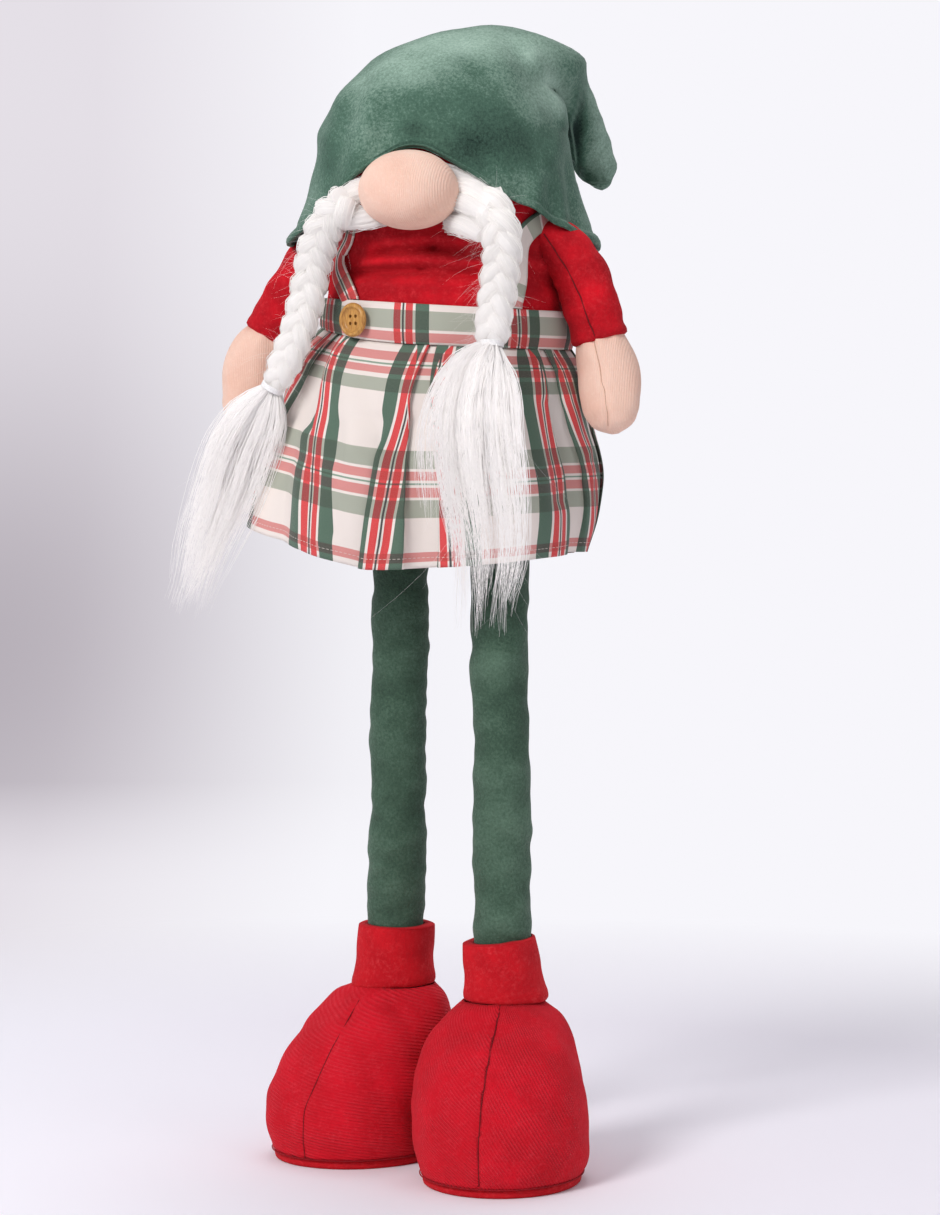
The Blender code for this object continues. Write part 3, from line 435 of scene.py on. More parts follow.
def to_the_eye(tree):
    """1 for rays that the camera follows, straight, mirrored or through, and 0 for light."""
    ray = add(tree, "ShaderNodeLightPath")
    by_eye = maths(tree, "MAXIMUM", out(ray, "Is Camera Ray"), out(ray, "Is Glossy Ray"))
    return maths(tree, "MAXIMUM", by_eye, out(ray, "Is Transmission Ray"))


def place_of(tree):
    return out(add(tree, "ShaderNodeTexCoord"), "Object")


def fact(tree, name):
    return out(add(tree, "ShaderNodeAttribute", attribute_name=name), "Fac")


def raise_from(tree, shader, height, distance, strength=1.0):
    bump = add(tree, "ShaderNodeBump", {"Height": height, "Distance": distance, "Strength": strength})
    tree.links.new(out(bump), shader.inputs["Normal"])


def colour(tree, shader, value):
    tree.links.new(value, shader.inputs["Base Color"])


def velvet_material(name, deep, dark, light):
    """Velvet whose brushed pile lies light in some places and dark in others, with painted light and shade
    set by its attribute.
    """
    material, tree, shader = begin(name, 0.85, 0.30, srgb(205, 218, 210), 0.35)
    place = place_of(tree)
    swells = spread(tree, noise(tree, place, 0.030, 4.0, 0.60), 0.28, 0.72, -0.08, 0.08)
    nap_and_painted_light = plus(tree, fact(tree, "nap_and_painted_light"), swells)
    tufts = spread(tree, noise(tree, place, 0.0017, 3.0, 0.80), 0.32, 0.68, -0.24, 0.24)
    nap_and_painted_light = plus(tree, nap_and_painted_light, tufts)
    # Low values run to the deep colour and high ones to the light colour: painted shade and painted light,
    # besides the pile's own patches
    shade = mixed(tree, spread(tree, nap_and_painted_light, -0.85, -0.10), deep, dark)
    shade = mixed(tree, spread(tree, nap_and_painted_light, -0.10, 1.00), shade, light)
    colour(tree, shader, shade)
    pile = plus(tree, noise(tree, place, 0.0012, 2.0, 0.7), noise(tree, place, 0.0045, 2.0, 0.6))
    raise_from(tree, shader, pile, 0.0008, 0.7)
    return material


def worn_and_shaded(tree, place, size, base, dark):
    """Cloth darker where its pile isn't rubbed and where shade is painted, as its attribute says; the dark
    colour serves for both.
    """
    wear_and_shade = plus(tree, noise(tree, place, size, 4.0, 0.6), fact(tree, "wear_and_shade"))
    return mixed(tree, spread(tree, wear_and_shade, 0.35, 0.75), dark, base)


def fuzzed(tree, place, shade, light, lowest, patch, faint, strong):
    """Light fibres over a shade, faint in some patches and strong in others."""
    fuzz = spread(tree, noise(tree, place, 0.0026, 4.0, 0.75), lowest, lowest + 0.30)
    worn = spread(tree, noise(tree, place, patch, 3.0, 0.6), 0.35, 0.65, faint, strong)
    return mixed(tree, times(tree, fuzz, worn), shade, light)


def plush_material(name, base, light, dark):
    """Brushed plush or felt in one colour with rubbed places, painted shade where its attribute asks, and
    fine fibres.
    """
    material, tree, shader = begin(name, 0.9, 0.12, light, 0.5)
    place = place_of(tree)
    shade = worn_and_shaded(tree, place, 0.022, base, dark)
    colour(tree, shader, fuzzed(tree, place, shade, light, 0.48, 0.018, 0.10, 0.55))
    pile = plus(tree, noise(tree, place, 0.0011, 3.0, 0.7), noise(tree, place, 0.0035, 2.0, 0.6))
    raise_from(tree, shader, pile, 0.0006, 0.7)
    return material


def ribbed_material(name, base, light, dark):
    """Felt with fine raised ribs that run as the rib attribute says."""
    material, tree, shader = begin(name, 0.9, 0.12, light, 0.5)
    place = place_of(tree)
    shade = worn_and_shaded(tree, place, 0.025, base, dark)
    rib = maths(tree, "SINE", times(tree, fact(tree, "rib"), 2 * math.pi / RIB_SPACING))
    worn = spread(tree, noise(tree, place, 0.012, 3.0, 0.6), 0.3, 0.62)
    rib = times(tree, spread(tree, rib, -1.0, 1.0), worn)
    shade = mixed(tree, times(tree, rib, 0.22), shade, light)
    colour(tree, shader, fuzzed(tree, place, shade, light, 0.50, 0.016, 0.08, 0.50))
    fine = times(tree, noise(tree, place, 0.0011, 3.0, 0.7), 0.6)
    raise_from(tree, shader, plus(tree, rib, fine), 0.0007, 0.8)
    return material


def knit_material():
    """Peach brushed knit with a fine vertical knit and a soft blush."""
    material, tree, shader = begin("peach_knit", 0.8, 0.35, srgb(255, 235, 220), 0.5)
    place = place_of(tree)
    blush = spread(tree, noise(tree, place, 0.03, 2.0, 0.5), 0.3, 0.7)
    shade = mixed(tree, blush, srgb(228, 184, 164), srgb(238, 202, 184))
    stitch = add(tree, "ShaderNodeTexWave", {"Vector": place, "Scale": 260.0, "Distortion": 1.5})
    shade = mixed(tree, times(tree, out(stitch), 0.12), shade, srgb(214, 166, 144))
    fuzz = spread(tree, noise(tree, place, 0.0018, 4.0, 0.75), 0.50, 0.80, 0.0, 0.30)
    shade = mixed(tree, fuzz, shade, srgb(252, 232, 220))
    colour(tree, shader, shade)
    pile = plus(tree, out(stitch), noise(tree, place, 0.0010, 3.0, 0.7))
    raise_from(tree, shader, pile, 0.0003, 0.5)
    shader.inputs["Subsurface Weight"].default_value = 0.12
    shader.inputs["Subsurface Radius"].default_value = (0.004, 0.002, 0.0015)
    return material


def hair_material(name, light, dark, passing):
    """White hair; passing is the share of light that a strand lets through to those behind it."""
    material, tree, shader = begin(name, 0.5, 0.2, WHITE, 0.4)
    shade = mixed(tree, fact(tree, "tone"), dark, light)
    colour(tree, shader, shade)
    # Fine hair passes light on from strand to strand, and shades the strands behind it only in part
    glow = add(tree, "ShaderNodeBsdfTranslucent", {"Color": shade})
    both = laid_over(tree, 0.50, shader, glow)
    gap = add(tree, "ShaderNodeBsdfTransparent")
    shadow = times(tree, out(add(tree, "ShaderNodeLightPath"), "Is Shadow Ray"), passing)
    ended(tree, laid_over(tree, shadow, both, gap))
    return material


# Stripes of the cloth in millimetres: the warp from the middle of a group, the weft from the skirt's top
CREAM = srgb(232, 221, 214)
RED = srgb(212, 34, 40)
GREEN = srgb(52, 92, 72)
BLACK = srgb(34, 42, 42)
UNDYED = srgb(255, 255, 255)
PINK = srgb(230, 152, 152)
SAGE = srgb(178, 192, 180)
THIN_GREEN = srgb(140, 176, 158)
WARP_PERIOD = 59.7
WARP = (
    (0.0, BLACK), (0.6, CREAM), (1.5, RED), (5.6, CREAM), (7.3, GREEN), (15.2, CREAM),
    (44.5, GREEN), (52.4, CREAM), (54.1, RED), (58.2, CREAM), (59.1, BLACK),
)
CLOTH_LENGTH = 130.0
WEFT = (
    (0.0, UNDYED), (4.4, PINK), (9.6, UNDYED), (11.0, THIN_GREEN), (12.1, UNDYED), (13.2, PINK),
    (17.2, UNDYED), (19.8, SAGE), (27.4, UNDYED), (59.5, SAGE), (69.6, UNDYED), (71.2, PINK),
    (76.6, UNDYED), (78.0, THIN_GREEN), (79.2, UNDYED), (80.4, PINK), (86.0, UNDYED),
    (87.6, SAGE), (97.8, UNDYED), (117.5, PINK), (123.0, UNDYED),
)


def striped(tree, value, period, stripes):
    """Stripes of plain colours along a value in millimetres."""
    share = maths(tree, "FRACT", maths(tree, "DIVIDE", value, period))
    ramp = add(tree, "ShaderNodeValToRGB", {0: share})
    band = ramp.color_ramp
    band.interpolation = "CONSTANT"
    for place, (start, shade) in enumerate(stripes):
        stop = band.elements[place] if place < 2 else band.elements.new(start / period)
        stop.position = start / period
        stop.color = shade
    return out(ramp)


def plaid_material():
    """Woven plaid cotton: warp and weft stripes that mix where they cross, with its threads."""
    material, tree, shader = begin("plaid_cotton", 0.75, 0.15, WHITE, 0.4)
    cloth = out(add(tree, "ShaderNodeTexCoord"), "UV")
    apart = add(tree, "ShaderNodeSeparateXYZ", {0: cloth})
    across, down = (times(tree, out(apart, axis), 1000.0) for axis in (0, 1))
    warp = striped(tree, across, WARP_PERIOD, WARP)
    weft = striped(tree, down, CLOTH_LENGTH, WEFT)
    slub = add(tree, "ShaderNodeTexNoise", {"Vector": cloth, "Scale": 2600.0})
    crossed = mixed(tree, 1.0, warp, weft, "MULTIPLY")
    share = spread(tree, out(slub), 0.3, 0.7, 0.02, 0.14)
    colour(tree, shader, mixed(tree, share, crossed, CREAM))
    turn = 2 * math.pi / THREAD_SPACING
    threads = [maths(tree, "SINE", times(tree, value, turn)) for value in (across, down)]
    raise_from(tree, shader, times(tree, *threads), 0.00012, 0.5)
    return material


def wood_material():
    """Waxed turned wood with its grain across the button."""
    material, tree, shader = begin("turned_wood", 0.38)
    shader.inputs["Coat Weight"].default_value = 0.25
    shader.inputs["Coat Roughness"].default_value = 0.25
    place = place_of(tree)
    stretched = add(tree, "ShaderNodeMapping", {"Vector": place, "Scale": (1.0, 1.0, 0.18)})
    grain = noise(tree, out(stretched), 0.0012, 4.0, 0.65)
    shade = mixed(tree, spread(tree, grain, 0.3, 0.7), srgb(150, 100, 46), srgb(206, 156, 84))
    colour(tree, shader, shade)
    raise_from(tree, shader, grain, 0.0001, 0.4)
    return material


def plain_material(name, base, roughness, grain_size, variation=0.12):
    """A plain material with slight mottling and grain, for thread and for what lies inside."""
    material, tree, shader = begin(name, roughness)
    place = place_of(tree)
    grain = noise(tree, place, grain_size, 3.0, 0.6)
    darker = tuple(value * (1 - 2 * variation) for value in base[:3]) + (1.0,)
    colour(tree, shader, mixed(tree, spread(tree, grain, 0.3, 0.7), darker, base))
    raise_from(tree, shader, grain, grain_size / 6, 0.4)
    return material


# The velvets' deep and light colours are also painted shade and painted light
VELVET = velvet_material("green_velvet", srgb(20, 40, 34), srgb(72, 103, 87), srgb(170, 196, 180))
LEG_VELVET = velvet_material("green_velvet_legs", srgb(24, 38, 30), srgb(60, 84, 68), srgb(112, 140, 120))
# The red plush's dark colour is both its unrubbed pile and the painted shade in the torso's folds
PLUSH = plush_material("red_plush", srgb(210, 10, 30), srgb(228, 66, 72), srgb(164, 3, 20))
FELT = ribbed_material("red_felt", srgb(206, 6, 32), srgb(228, 64, 76), srgb(190, 3, 26))
PLAIN_FELT = plush_material("plain_red_felt", srgb(204, 16, 30), srgb(230, 80, 84), srgb(182, 8, 24))
KNIT = knit_material()
HAIR = hair_material("white_hair", srgb(254, 252, 250), srgb(246, 244, 243), 0.86)
LOOSE_HAIR = hair_material("loose_white_hair", srgb(254, 252, 251), srgb(246, 244, 244), 0.95)
PLAID = plaid_material()
WOOD = wood_material()
HAIR_THREAD = plain_material("white_thread", srgb(246, 244, 244), 0.7, 0.0006)
RED_THREAD = plain_material("dark_red_thread", srgb(112, 8, 18), 0.7, 0.0006)
GREEN_THREAD = plain_material("green_thread", srgb(86, 124, 104), 0.7, 0.0006)
CREAM_THREAD = plain_material("cream_thread", srgb(236, 226, 216), 0.7, 0.0006)
SKIN_THREAD = plain_material("peach_thread", srgb(206, 164, 142), 0.7, 0.0006)
BROWN_THREAD = plain_material("brown_thread", srgb(70, 44, 28), 0.8, 0.0005)
SOLE_EDGE = plush_material("dark_red_felt", srgb(168, 20, 32), srgb(196, 60, 66), srgb(128, 8, 20))
TUBE = plain_material("tube_plastic", srgb(190, 190, 186), 0.5, 0.004)
BAG_CLOTH = plain_material("ballast_cloth", srgb(178, 164, 140), 0.9, 0.0012)


# Trees of geometry nodes


def new_tree(name, inputs):
    """A geometry tree with numbers as inputs besides its Geometry and its Material."""
    tree = bpy.data.node_groups.new(name, "GeometryNodeTree")
    tree.interface.new_socket("Geometry", in_out="INPUT", socket_type="NodeSocketGeometry")
    for label, value in inputs.items():
        kind = "NodeSocketInt" if isinstance(value, int) else "NodeSocketFloat"
        tree.interface.new_socket(label, in_out="INPUT", socket_type=kind).default_value = value
    tree.interface.new_socket("Material", in_out="INPUT", socket_type="NodeSocketMaterial")
    tree.interface.new_socket("Geometry", in_out="OUTPUT", socket_type="NodeSocketGeometry")
    return tree, tree.nodes.new("NodeGroupInput")


def in_use(sockets, name=None):
    """The socket in use of several for one value, by its name where others are in use too."""
    return next(socket for socket in sockets if socket.enabled and name in (None, socket.name))


def curve_of(tree, given):
    return out(add(tree, "GeometryNodeMeshToCurve", {"Mesh": out(given, "Geometry")}))


def end_tree(tree, given, geometry):
    """Ends a tree in Realize Instances and Set Material."""
    smooth = add(tree, "GeometryNodeSetShadeSmooth", {"Geometry": geometry})
    real = add(tree, "GeometryNodeRealizeInstances", {"Geometry": out(smooth)})
    dyed = add(tree, "GeometryNodeSetMaterial", {"Geometry": out(real), "Material": out(given, "Material")})
    tree.links.new(out(dyed), tree.nodes.new("NodeGroupOutput").inputs["Geometry"])
    return tree


def swept(tree, curve, radius, sides, scale):
    """A closed tube of that many sides along a curve, its radius scaled along the way."""
    sized = add(tree, "GeometryNodeSetCurveRadius", {"Curve": curve, "Radius": scale})
    profile = add(tree, "GeometryNodeCurvePrimitiveCircle", {"Resolution": sides, "Radius": radius})
    tube = add(tree, "GeometryNodeCurveToMesh", {"Curve": out(sized), "Profile Curve": out(profile)})
    tube.inputs["Fill Caps"].default_value = True
    if "Scale" in tube.inputs:
        tree.links.new(out(add(tree, "GeometryNodeInputRadius")), tube.inputs["Scale"])
    return out(tube)


def hair_tree():
    """Locks of hair: each guide is copied into strands that keep within the guide's spread."""
    inputs = {"Copies": 40, "Points": 16, "Strand Radius": 0.0002, "Wander": 0.002, "Wander Size": 0.02}
    tree, given = new_tree("locks", {**inputs, "Ragged": 0.3, "Core": 0.0, "Seed": 1})

    def named(name):
        node = add(tree, "GeometryNodeInputNamedAttribute", {"Name": name}, data_type="FLOAT")
        return in_use(node.outputs)

    def vector(operation, first, second):
        return out(add(tree, "ShaderNodeVectorMath", {0: first, 1: second}, operation=operation))

    def scaled(first, amount):
        return out(add(tree, "ShaderNodeVectorMath", {0: first, "Scale": amount}, operation="SCALE"))

    def draw(low, high, shift, identity):
        seed = plus(tree, out(given, "Seed"), float(shift))
        node = add(tree, "FunctionNodeRandomValue", {"Seed": seed, "ID": identity}, data_type="FLOAT")
        in_use(node.inputs, "Min").default_value = low
        in_use(node.inputs, "Max").default_value = high
        return in_use(node.outputs)

    sampling = {"Curve": curve_of(tree, given), "Count": out(given, "Points")}
    even = add(tree, "GeometryNodeResampleCurve", sampling)
    copying = {"Geometry": out(even), "Amount": out(given, "Copies")}
    many = add(tree, "GeometryNodeDuplicateElements", copying, domain="SPLINE")
    strand = out(add(tree, "GeometryNodeCurveOfPoint"), "Curve Index")
    along = out(add(tree, "GeometryNodeSplineParameter"), "Factor")
    spread_here = named("spread")

    # A place of its own beside the guide for each strand
    angle = draw(0.0, 2 * math.pi, 0, strand)
    reach = times(tree, maths(tree, "SQRT", draw(0.0, 1.0, 11, strand)), spread_here)
    normal = out(add(tree, "GeometryNodeInputNormal"))
    side = vector("CROSS_PRODUCT", out(add(tree, "GeometryNodeInputTangent")), normal)
    across = scaled(normal, times(tree, reach, maths(tree, "COSINE", angle)))
    offset = vector("ADD", across, scaled(side, times(tree, reach, maths(tree, "SINE", angle))))

    # And a way of its own to wander along it
    swirling = {
        "Vector": out(add(tree, "GeometryNodeInputPosition")),
        "W": draw(0.0, 60.0, 23, strand),
        "Scale": maths(tree, "DIVIDE", 1.0, out(given, "Wander Size")),
        "Detail": 1.0,
    }
    swirl = add(tree, "ShaderNodeTexNoise", swirling, noise_dimensions="4D")
    centred = vector("SUBTRACT", out(swirl, "Color"), (0.5, 0.5, 0.5))
    stray = times(tree, times(tree, out(given, "Wander"), named("loose")), 2.0)
    offset = vector("ADD", offset, scaled(centred, stray))
    laid = add(tree, "GeometryNodeSetPosition", {"Geometry": out(many), "Offset": offset})
    toning = {"Geometry": out(laid), "Name": "tone"}
    toned = add(tree, "GeometryNodeStoreNamedAttribute", toning, data_type="FLOAT", domain="POINT")
    tree.links.new(draw(0.0, 1.0, 31, strand), in_use(toned.inputs, "Value"))

    # Strands end at different lengths and taper
    shorter = add(tree, "GeometryNodeTrimCurve", {"Curve": out(toned)}, mode="FACTOR")
    index = out(add(tree, "GeometryNodeInputIndex"))
    chance = maths(tree, "POWER", draw(0.0, 1.0, 41, index), 1.6)
    cut = maths(tree, "SUBTRACT", 1.0, times(tree, chance, out(given, "Ragged")))
    tree.links.new(cut, in_use(shorter.inputs, "End"))
    taper = maths(tree, "SUBTRACT", 1.0, times(tree, maths(tree, "POWER", along, 2.0), 0.8))
    hair = swept(tree, out(shorter), out(given, "Strand Radius"), 3, taper)
    core = swept(tree, out(even), 1.0, 10, times(tree, spread_here, out(given, "Core")))
    above = {"data_type": "FLOAT", "operation": "GREATER_THAN"}
    is_core = add(tree, "FunctionNodeCompare", {0: out(given, "Core")}, **above)
    choice = {"Switch": out(is_core), "True": core}
    chosen = add(tree, "GeometryNodeSwitch", choice, input_type="GEOMETRY")
    joined = add(tree, "GeometryNodeJoinGeometry", {0: hair})
    tree.links.new(out(chosen), joined.inputs[0])
    return end_tree(tree, given, out(joined))


def stitch_tree():
    """A row of stitches along a line."""
    tree, given = new_tree("stitches", {"Spacing": 0.0025, "Stitch Length": 0.0018, "Thread": 0.00035})
    stepping = {"Curve": curve_of(tree, given), "Length": out(given, "Spacing")}
    spots = add(tree, "GeometryNodeCurveToPoints", stepping, mode="LENGTH")
    bead = add(tree, "GeometryNodeMeshUVSphere", {"Segments": 6, "Rings": 5, "Radius": 0.5})
    thread = out(given, "Thread")
    size = add(tree, "ShaderNodeCombineXYZ", {0: thread, 1: thread, 2: out(given, "Stitch Length")})
    stitch = add(tree, "GeometryNodeTransform", {"Geometry": out(bead), "Scale": out(size)})
    laying = {"Points": out(spots, "Points"), "Instance": out(stitch), "Rotation": out(spots, "Rotation")}
    return end_tree(tree, given, out(add(tree, "GeometryNodeInstanceOnPoints", laying)))


def piping_tree():
    """A round thread or piping along a line."""
    tree, given = new_tree("piping", {"Radius": 0.001, "Sides": 8})
    tube = swept(tree, curve_of(tree, given), out(given, "Radius"), out(given, "Sides"), 1.0)
    return end_tree(tree, given, tube)


LOCKS = hair_tree()
STITCHES = stitch_tree()
PIPING = piping_tree()


def grown(name, mesh, tree, values):
    """The plain mesh that a tree makes from a source mesh."""
    source = placed(name + "_source", mesh)
    modifier = source.modifiers.new("Grown", "NODES")
    modifier.node_group = tree
    for item in tree.interface.items_tree:
        if item.item_type == "SOCKET" and item.in_out == "INPUT" and item.name in values:
            modifier[item.identifier] = values[item.name]
    graph = bpy.context.evaluated_depsgraph_get()
    result = bpy.data.meshes.new_from_object(source.evaluated_get(graph))
    result.name = name
    bpy.data.objects.remove(source)
    bpy.data.meshes.remove(mesh)
    return result


def lines_mesh(lines, closed=False, **facts):
    """A mesh of polylines, with a value at each point for each fact."""
    mesh = bpy.data.meshes.new("lines")
    points = np.concatenate(lines) + FIGURE
    edges = []
    start = 0
    for line in lines:
        edges += [(start + place, start + place + 1) for place in range(len(line) - 1)]
        if closed:
            edges.append((start + len(line) - 1, start))
        start += len(line)
    mesh.from_pydata(points.tolist(), edges, [])
    for name, values in facts.items():
        store(mesh, name, np.concatenate(values))
    return mesh


def sewn(name, lines, material, spacing=0.0026, length=0.0019, thread=0.0004, closed=False):
    """A separate row of stitches along each line."""
    values = {"Spacing": spacing, "Stitch Length": length, "Thread": thread, "Material": material}
    return piece(name, grown(name, lines_mesh(lines, closed), STITCHES, values), material)


def piped(name, lines, radius, material, closed=False, sides=8, replaced=()):
    values = {"Radius": radius, "Sides": sides, "Material": material}
    return piece(name, grown(name, lines_mesh(lines, closed), PIPING, values), material, replaced)


def ring_angles(count):
    return np.arange(count) * 2 * math.pi / count


def path_frame(path, t):
    """Points, sides and depths along a smooth path."""
    stations = stations_of(path)
    middle = through(stations, t)
    along = unit(through(stations, np.minimum(t + 0.01, 1)) - through(stations, np.maximum(t - 0.01, 0)))
    depth = unit(FRONT - along * (along @ FRONT)[:, None])
    return middle, np.cross(along, depth), depth


def tube_grid(path, sizes, columns, rows):
    """Oval rings square to a smooth path: sizes are (place, (half width, half depth))."""
    t = np.linspace(0, 1, rows)
    middle, side, depth = path_frame(path, t)
    half = through(sizes, t)
    angle = ring_angles(columns)
    across = side[:, None] * (np.sin(angle)[None, :] * half[:, :1])[..., None]
    deep = depth[:, None] * (np.cos(angle)[None, :] * half[:, 1:2])[..., None]
    return middle[:, None] + across + deep, t


# Hat

HAT_RIGHT = np.array([math.cos(HAT_TURN), math.sin(HAT_TURN), 0.0])
HAT_FRONT = np.array([math.sin(HAT_TURN), -math.cos(HAT_TURN), 0.0])
HAT_LINE = -0.0024
BRIM_HALF_WIDTH = BODY_HALF_WIDTH + 0.0197
BRIM_HALF_DEPTH = 0.080
CROWN_HALF_WIDTH = 0.0735
CROWN_HALF_DEPTH = 0.0625
PEAK_RISE = 0.056

# Share of the peak's rise along the brim, by degrees round from over the nose
BRIM_RISE = (
    (-180, 0.00),
    (-110, 0.02),
    (-75, 0.10),
    (-60, 0.25),
    (-50, 0.44),
    (-40, 0.66),
    (-30, 0.85),
    (-20, 0.99),
    (-8, 1.01),
    (0, 0.91),
    (10, 0.74),
    (22, 0.57),
    (40, 0.34),
    (62, 0.11),
    (90, 0.00),
    (180, 0.00),
)

# The fold above the crown: left and right end of a section (across, up), half depth, how far back
FOLD = (
    (-0.0745, 0.0000, 0.0725, 0.0000, 0.0625, 0.000),
    (-0.0690, 0.0150, 0.0722, 0.0065, 0.0600, 0.001),
    (-0.0590, 0.0290, 0.0715, 0.0125, 0.0570, 0.003),
    (-0.0440, 0.0430, 0.0700, 0.0170, 0.0530, 0.005),
    (-0.0235, 0.0540, 0.0680, 0.0205, 0.0490, 0.008),
    (0.0030, 0.0602, 0.0660, 0.0225, 0.0440, 0.012),
    (0.0310, 0.0622, 0.0650, 0.0225, 0.0390, 0.017),
    (0.0590, 0.0585, 0.0645, 0.0210, 0.0340, 0.023),
    (0.0825, 0.0470, 0.0640, 0.0180, 0.0300, 0.030),
    (0.0855, 0.0330, 0.0635, 0.0130, 0.0270, 0.038),
    (0.0925, 0.0170, 0.0640, 0.0060, 0.0230, 0.045),
    (0.0980, 0.0010, 0.0670, -0.0020, 0.0190, 0.050),
    (0.1015, -0.0140, 0.0730, -0.0110, 0.0150, 0.053),
    (0.1000, -0.0240, 0.0800, -0.0200, 0.0100, 0.054),
    (0.0975, -0.0290, 0.0850, -0.0260, 0.0070, 0.054),
    (0.0940, -0.0315, 0.0895, -0.0300, 0.0030, 0.054),
)


def brim_height(angle):
    degrees = (np.degrees(angle) + 180.0) % 360.0 - 180.0
    return BRIM + PEAK_RISE * through(BRIM_RISE, degrees)[..., 0]


def hat_surface(angle, height, inset):
    share = (height - BRIM) / (CROWN - BRIM)
    bow = 0.0035 * np.sin(np.pi * np.clip(share, 0, 1)) + inset
    wide = BRIM_HALF_WIDTH + (CROWN_HALF_WIDTH - BRIM_HALF_WIDTH) * share - bow
    deep = BRIM_HALF_DEPTH + (CROWN_HALF_DEPTH - BRIM_HALF_DEPTH) * share - bow
    across = (wide * np.sin(angle) + HAT_LINE)[..., None] * HAT_RIGHT
    return across + (deep * np.cos(angle))[..., None] * HAT_FRONT + height[..., None] * UPWARDS


# Folds of the velvet as the view shows them, in the photograph's pixels, height in mm
CREASE = ((524, 42), (537, 63), (553, 88), (565, 109), (569, 125))
UNDER_CREASE = ((512, 46), (526, 70), (542, 96), (556, 118), (562, 134))
TIP_EDGE = ((592, 66), (586, 82), (578, 102), (570, 125), (573, 143), (575, 160), (575, 184))
HAT_FOLDS = (
    ((375, 96), (352, 190), 2.7, 11),
    ((398, 78), (388, 150), -1.3, 10),
    ((402, 122), (414, 142), -1.5, 12),
    ((345, 120), (322, 200), -2.0, 10),
    ((430, 92), (470, 168), 2.0, 13),
    ((448, 120), (520, 196), -1.7, 11),
    ((560, 138), (532, 205), 2.4, 10),
    ((570, 168), (575, 222), -2.7, 6),
    ((545, 170), (556, 222), -1.7, 7),
    ((470, 60), (520, 100), -1.5, 14),
    ((372, 66), (420, 100), 1.4, 14),
    ((597, 100), (582, 120), -2.0, 5),
    ((606, 120), (588, 142), -2.0, 5),
    ((612, 140), (592, 160), -2.0, 5),
    ((604, 108), (586, 130), 1.4, 4),
    (*CREASE, 1.6, 6),
    (*UNDER_CREASE, -1.6, 10),
)
# Painted light and shade over the pile's own patches: x, y, strength, radius across and down
HAT_LIGHT_AND_NAP = (
    (400, 72, 0.42, 44, 24),
    (470, 42, 0.55, 66, 18),
    (345, 150, -0.10, 22, 50),
    (610, 120, 0.40, 22, 60),
    (598, 165, 0.25, 16, 22),
    (440, 100, -0.25, 50, 22),
    (500, 140, -0.45, 55, 26),
    (470, 150, -0.25, 30, 22),
    (412, 130, -0.50, 16, 12),
    (581, 108, -0.55, 6, 18),
    (577, 145, -0.55, 6, 26),
    (582, 175, -0.40, 6, 12),
    (530, 58, 0.35, 9, 12),
    (546, 80, 0.35, 9, 14),
    (559, 104, 0.30, 8, 14),
    (402, 152, -0.40, 14, 8),
    (556, 190, -0.20, 26, 36),
    (552, 92, 0.40, 22, 28),
    (536, 52, 0.35, 30, 14),
    (572, 130, -0.70, 10, 14),
    (315, 215, 0.12, 26, 20),
    (520, 180, 0.06, 30, 14),
    (358, 96, 0.25, 12, 36),
    (330, 170, -0.20, 10, 34),
)


def hat_grid(columns):
    """Rings of the hat from its brim up to the crown, and over the fold to its tip."""
    angle = ring_angles(columns)
    edge = brim_height(angle)
    shares = np.concatenate([[0.0, 0.02, 0.045], np.linspace(0.08, 1.0, 46)])
    height = edge + (CROWN - edge) * shares[:, None]
    sides = hat_surface(np.broadcast_to(angle, height.shape), height, 0.0)
    places = np.linspace(0, len(FOLD) - 1, 68)[1:]
    left_x, left_z, right_x, right_z, deep, back = through(list(enumerate(FOLD)), places).T[..., None]
    left = left_x * HAT_RIGHT + (CROWN + left_z) * UPWARDS - back * HAT_FRONT
    right = right_x * HAT_RIGHT + (CROWN + right_z) * UPWARDS - back * HAT_FRONT
    fold = ((left + right) / 2)[:, None] + ((right - left) / 2)[:, None] * np.sin(angle)[None, :, None]
    fold = fold + (deep * np.cos(angle))[..., None] * HAT_FRONT
    return np.concatenate([sides, fold])


def eased(grid, rounds, block):
    """The same grid with the rows of a block relaxed, along and across."""
    grid = grid.copy()
    for _ in range(rounds):
        middle = (grid[:-2] + 2 * grid[1:-1] + grid[2:]) / 4
        middle = (np.roll(middle, 1, axis=1) + 2 * middle + np.roll(middle, -1, axis=1)) / 4
        grid[1:-1][block] = middle[block]
    return grid


# The hem is turned in: a soft roll along the brim, then a shallow line where it is sewn, by rows
HEM_ROLL = ((0, 1, 2, 3.5, 5, 7, 9), (0.0004, 0.0016, 0.0022, 0.0016, -0.0002, -0.0003, 0.0))
HEM_ROW = 5
LINING_ROWS = 50
# Painted shade over the whole lining inside the hat
LINING_SHADE = -0.4
LINING_DOME = ((0.85, 0.006), (0.62, 0.012), (0.34, 0.015))


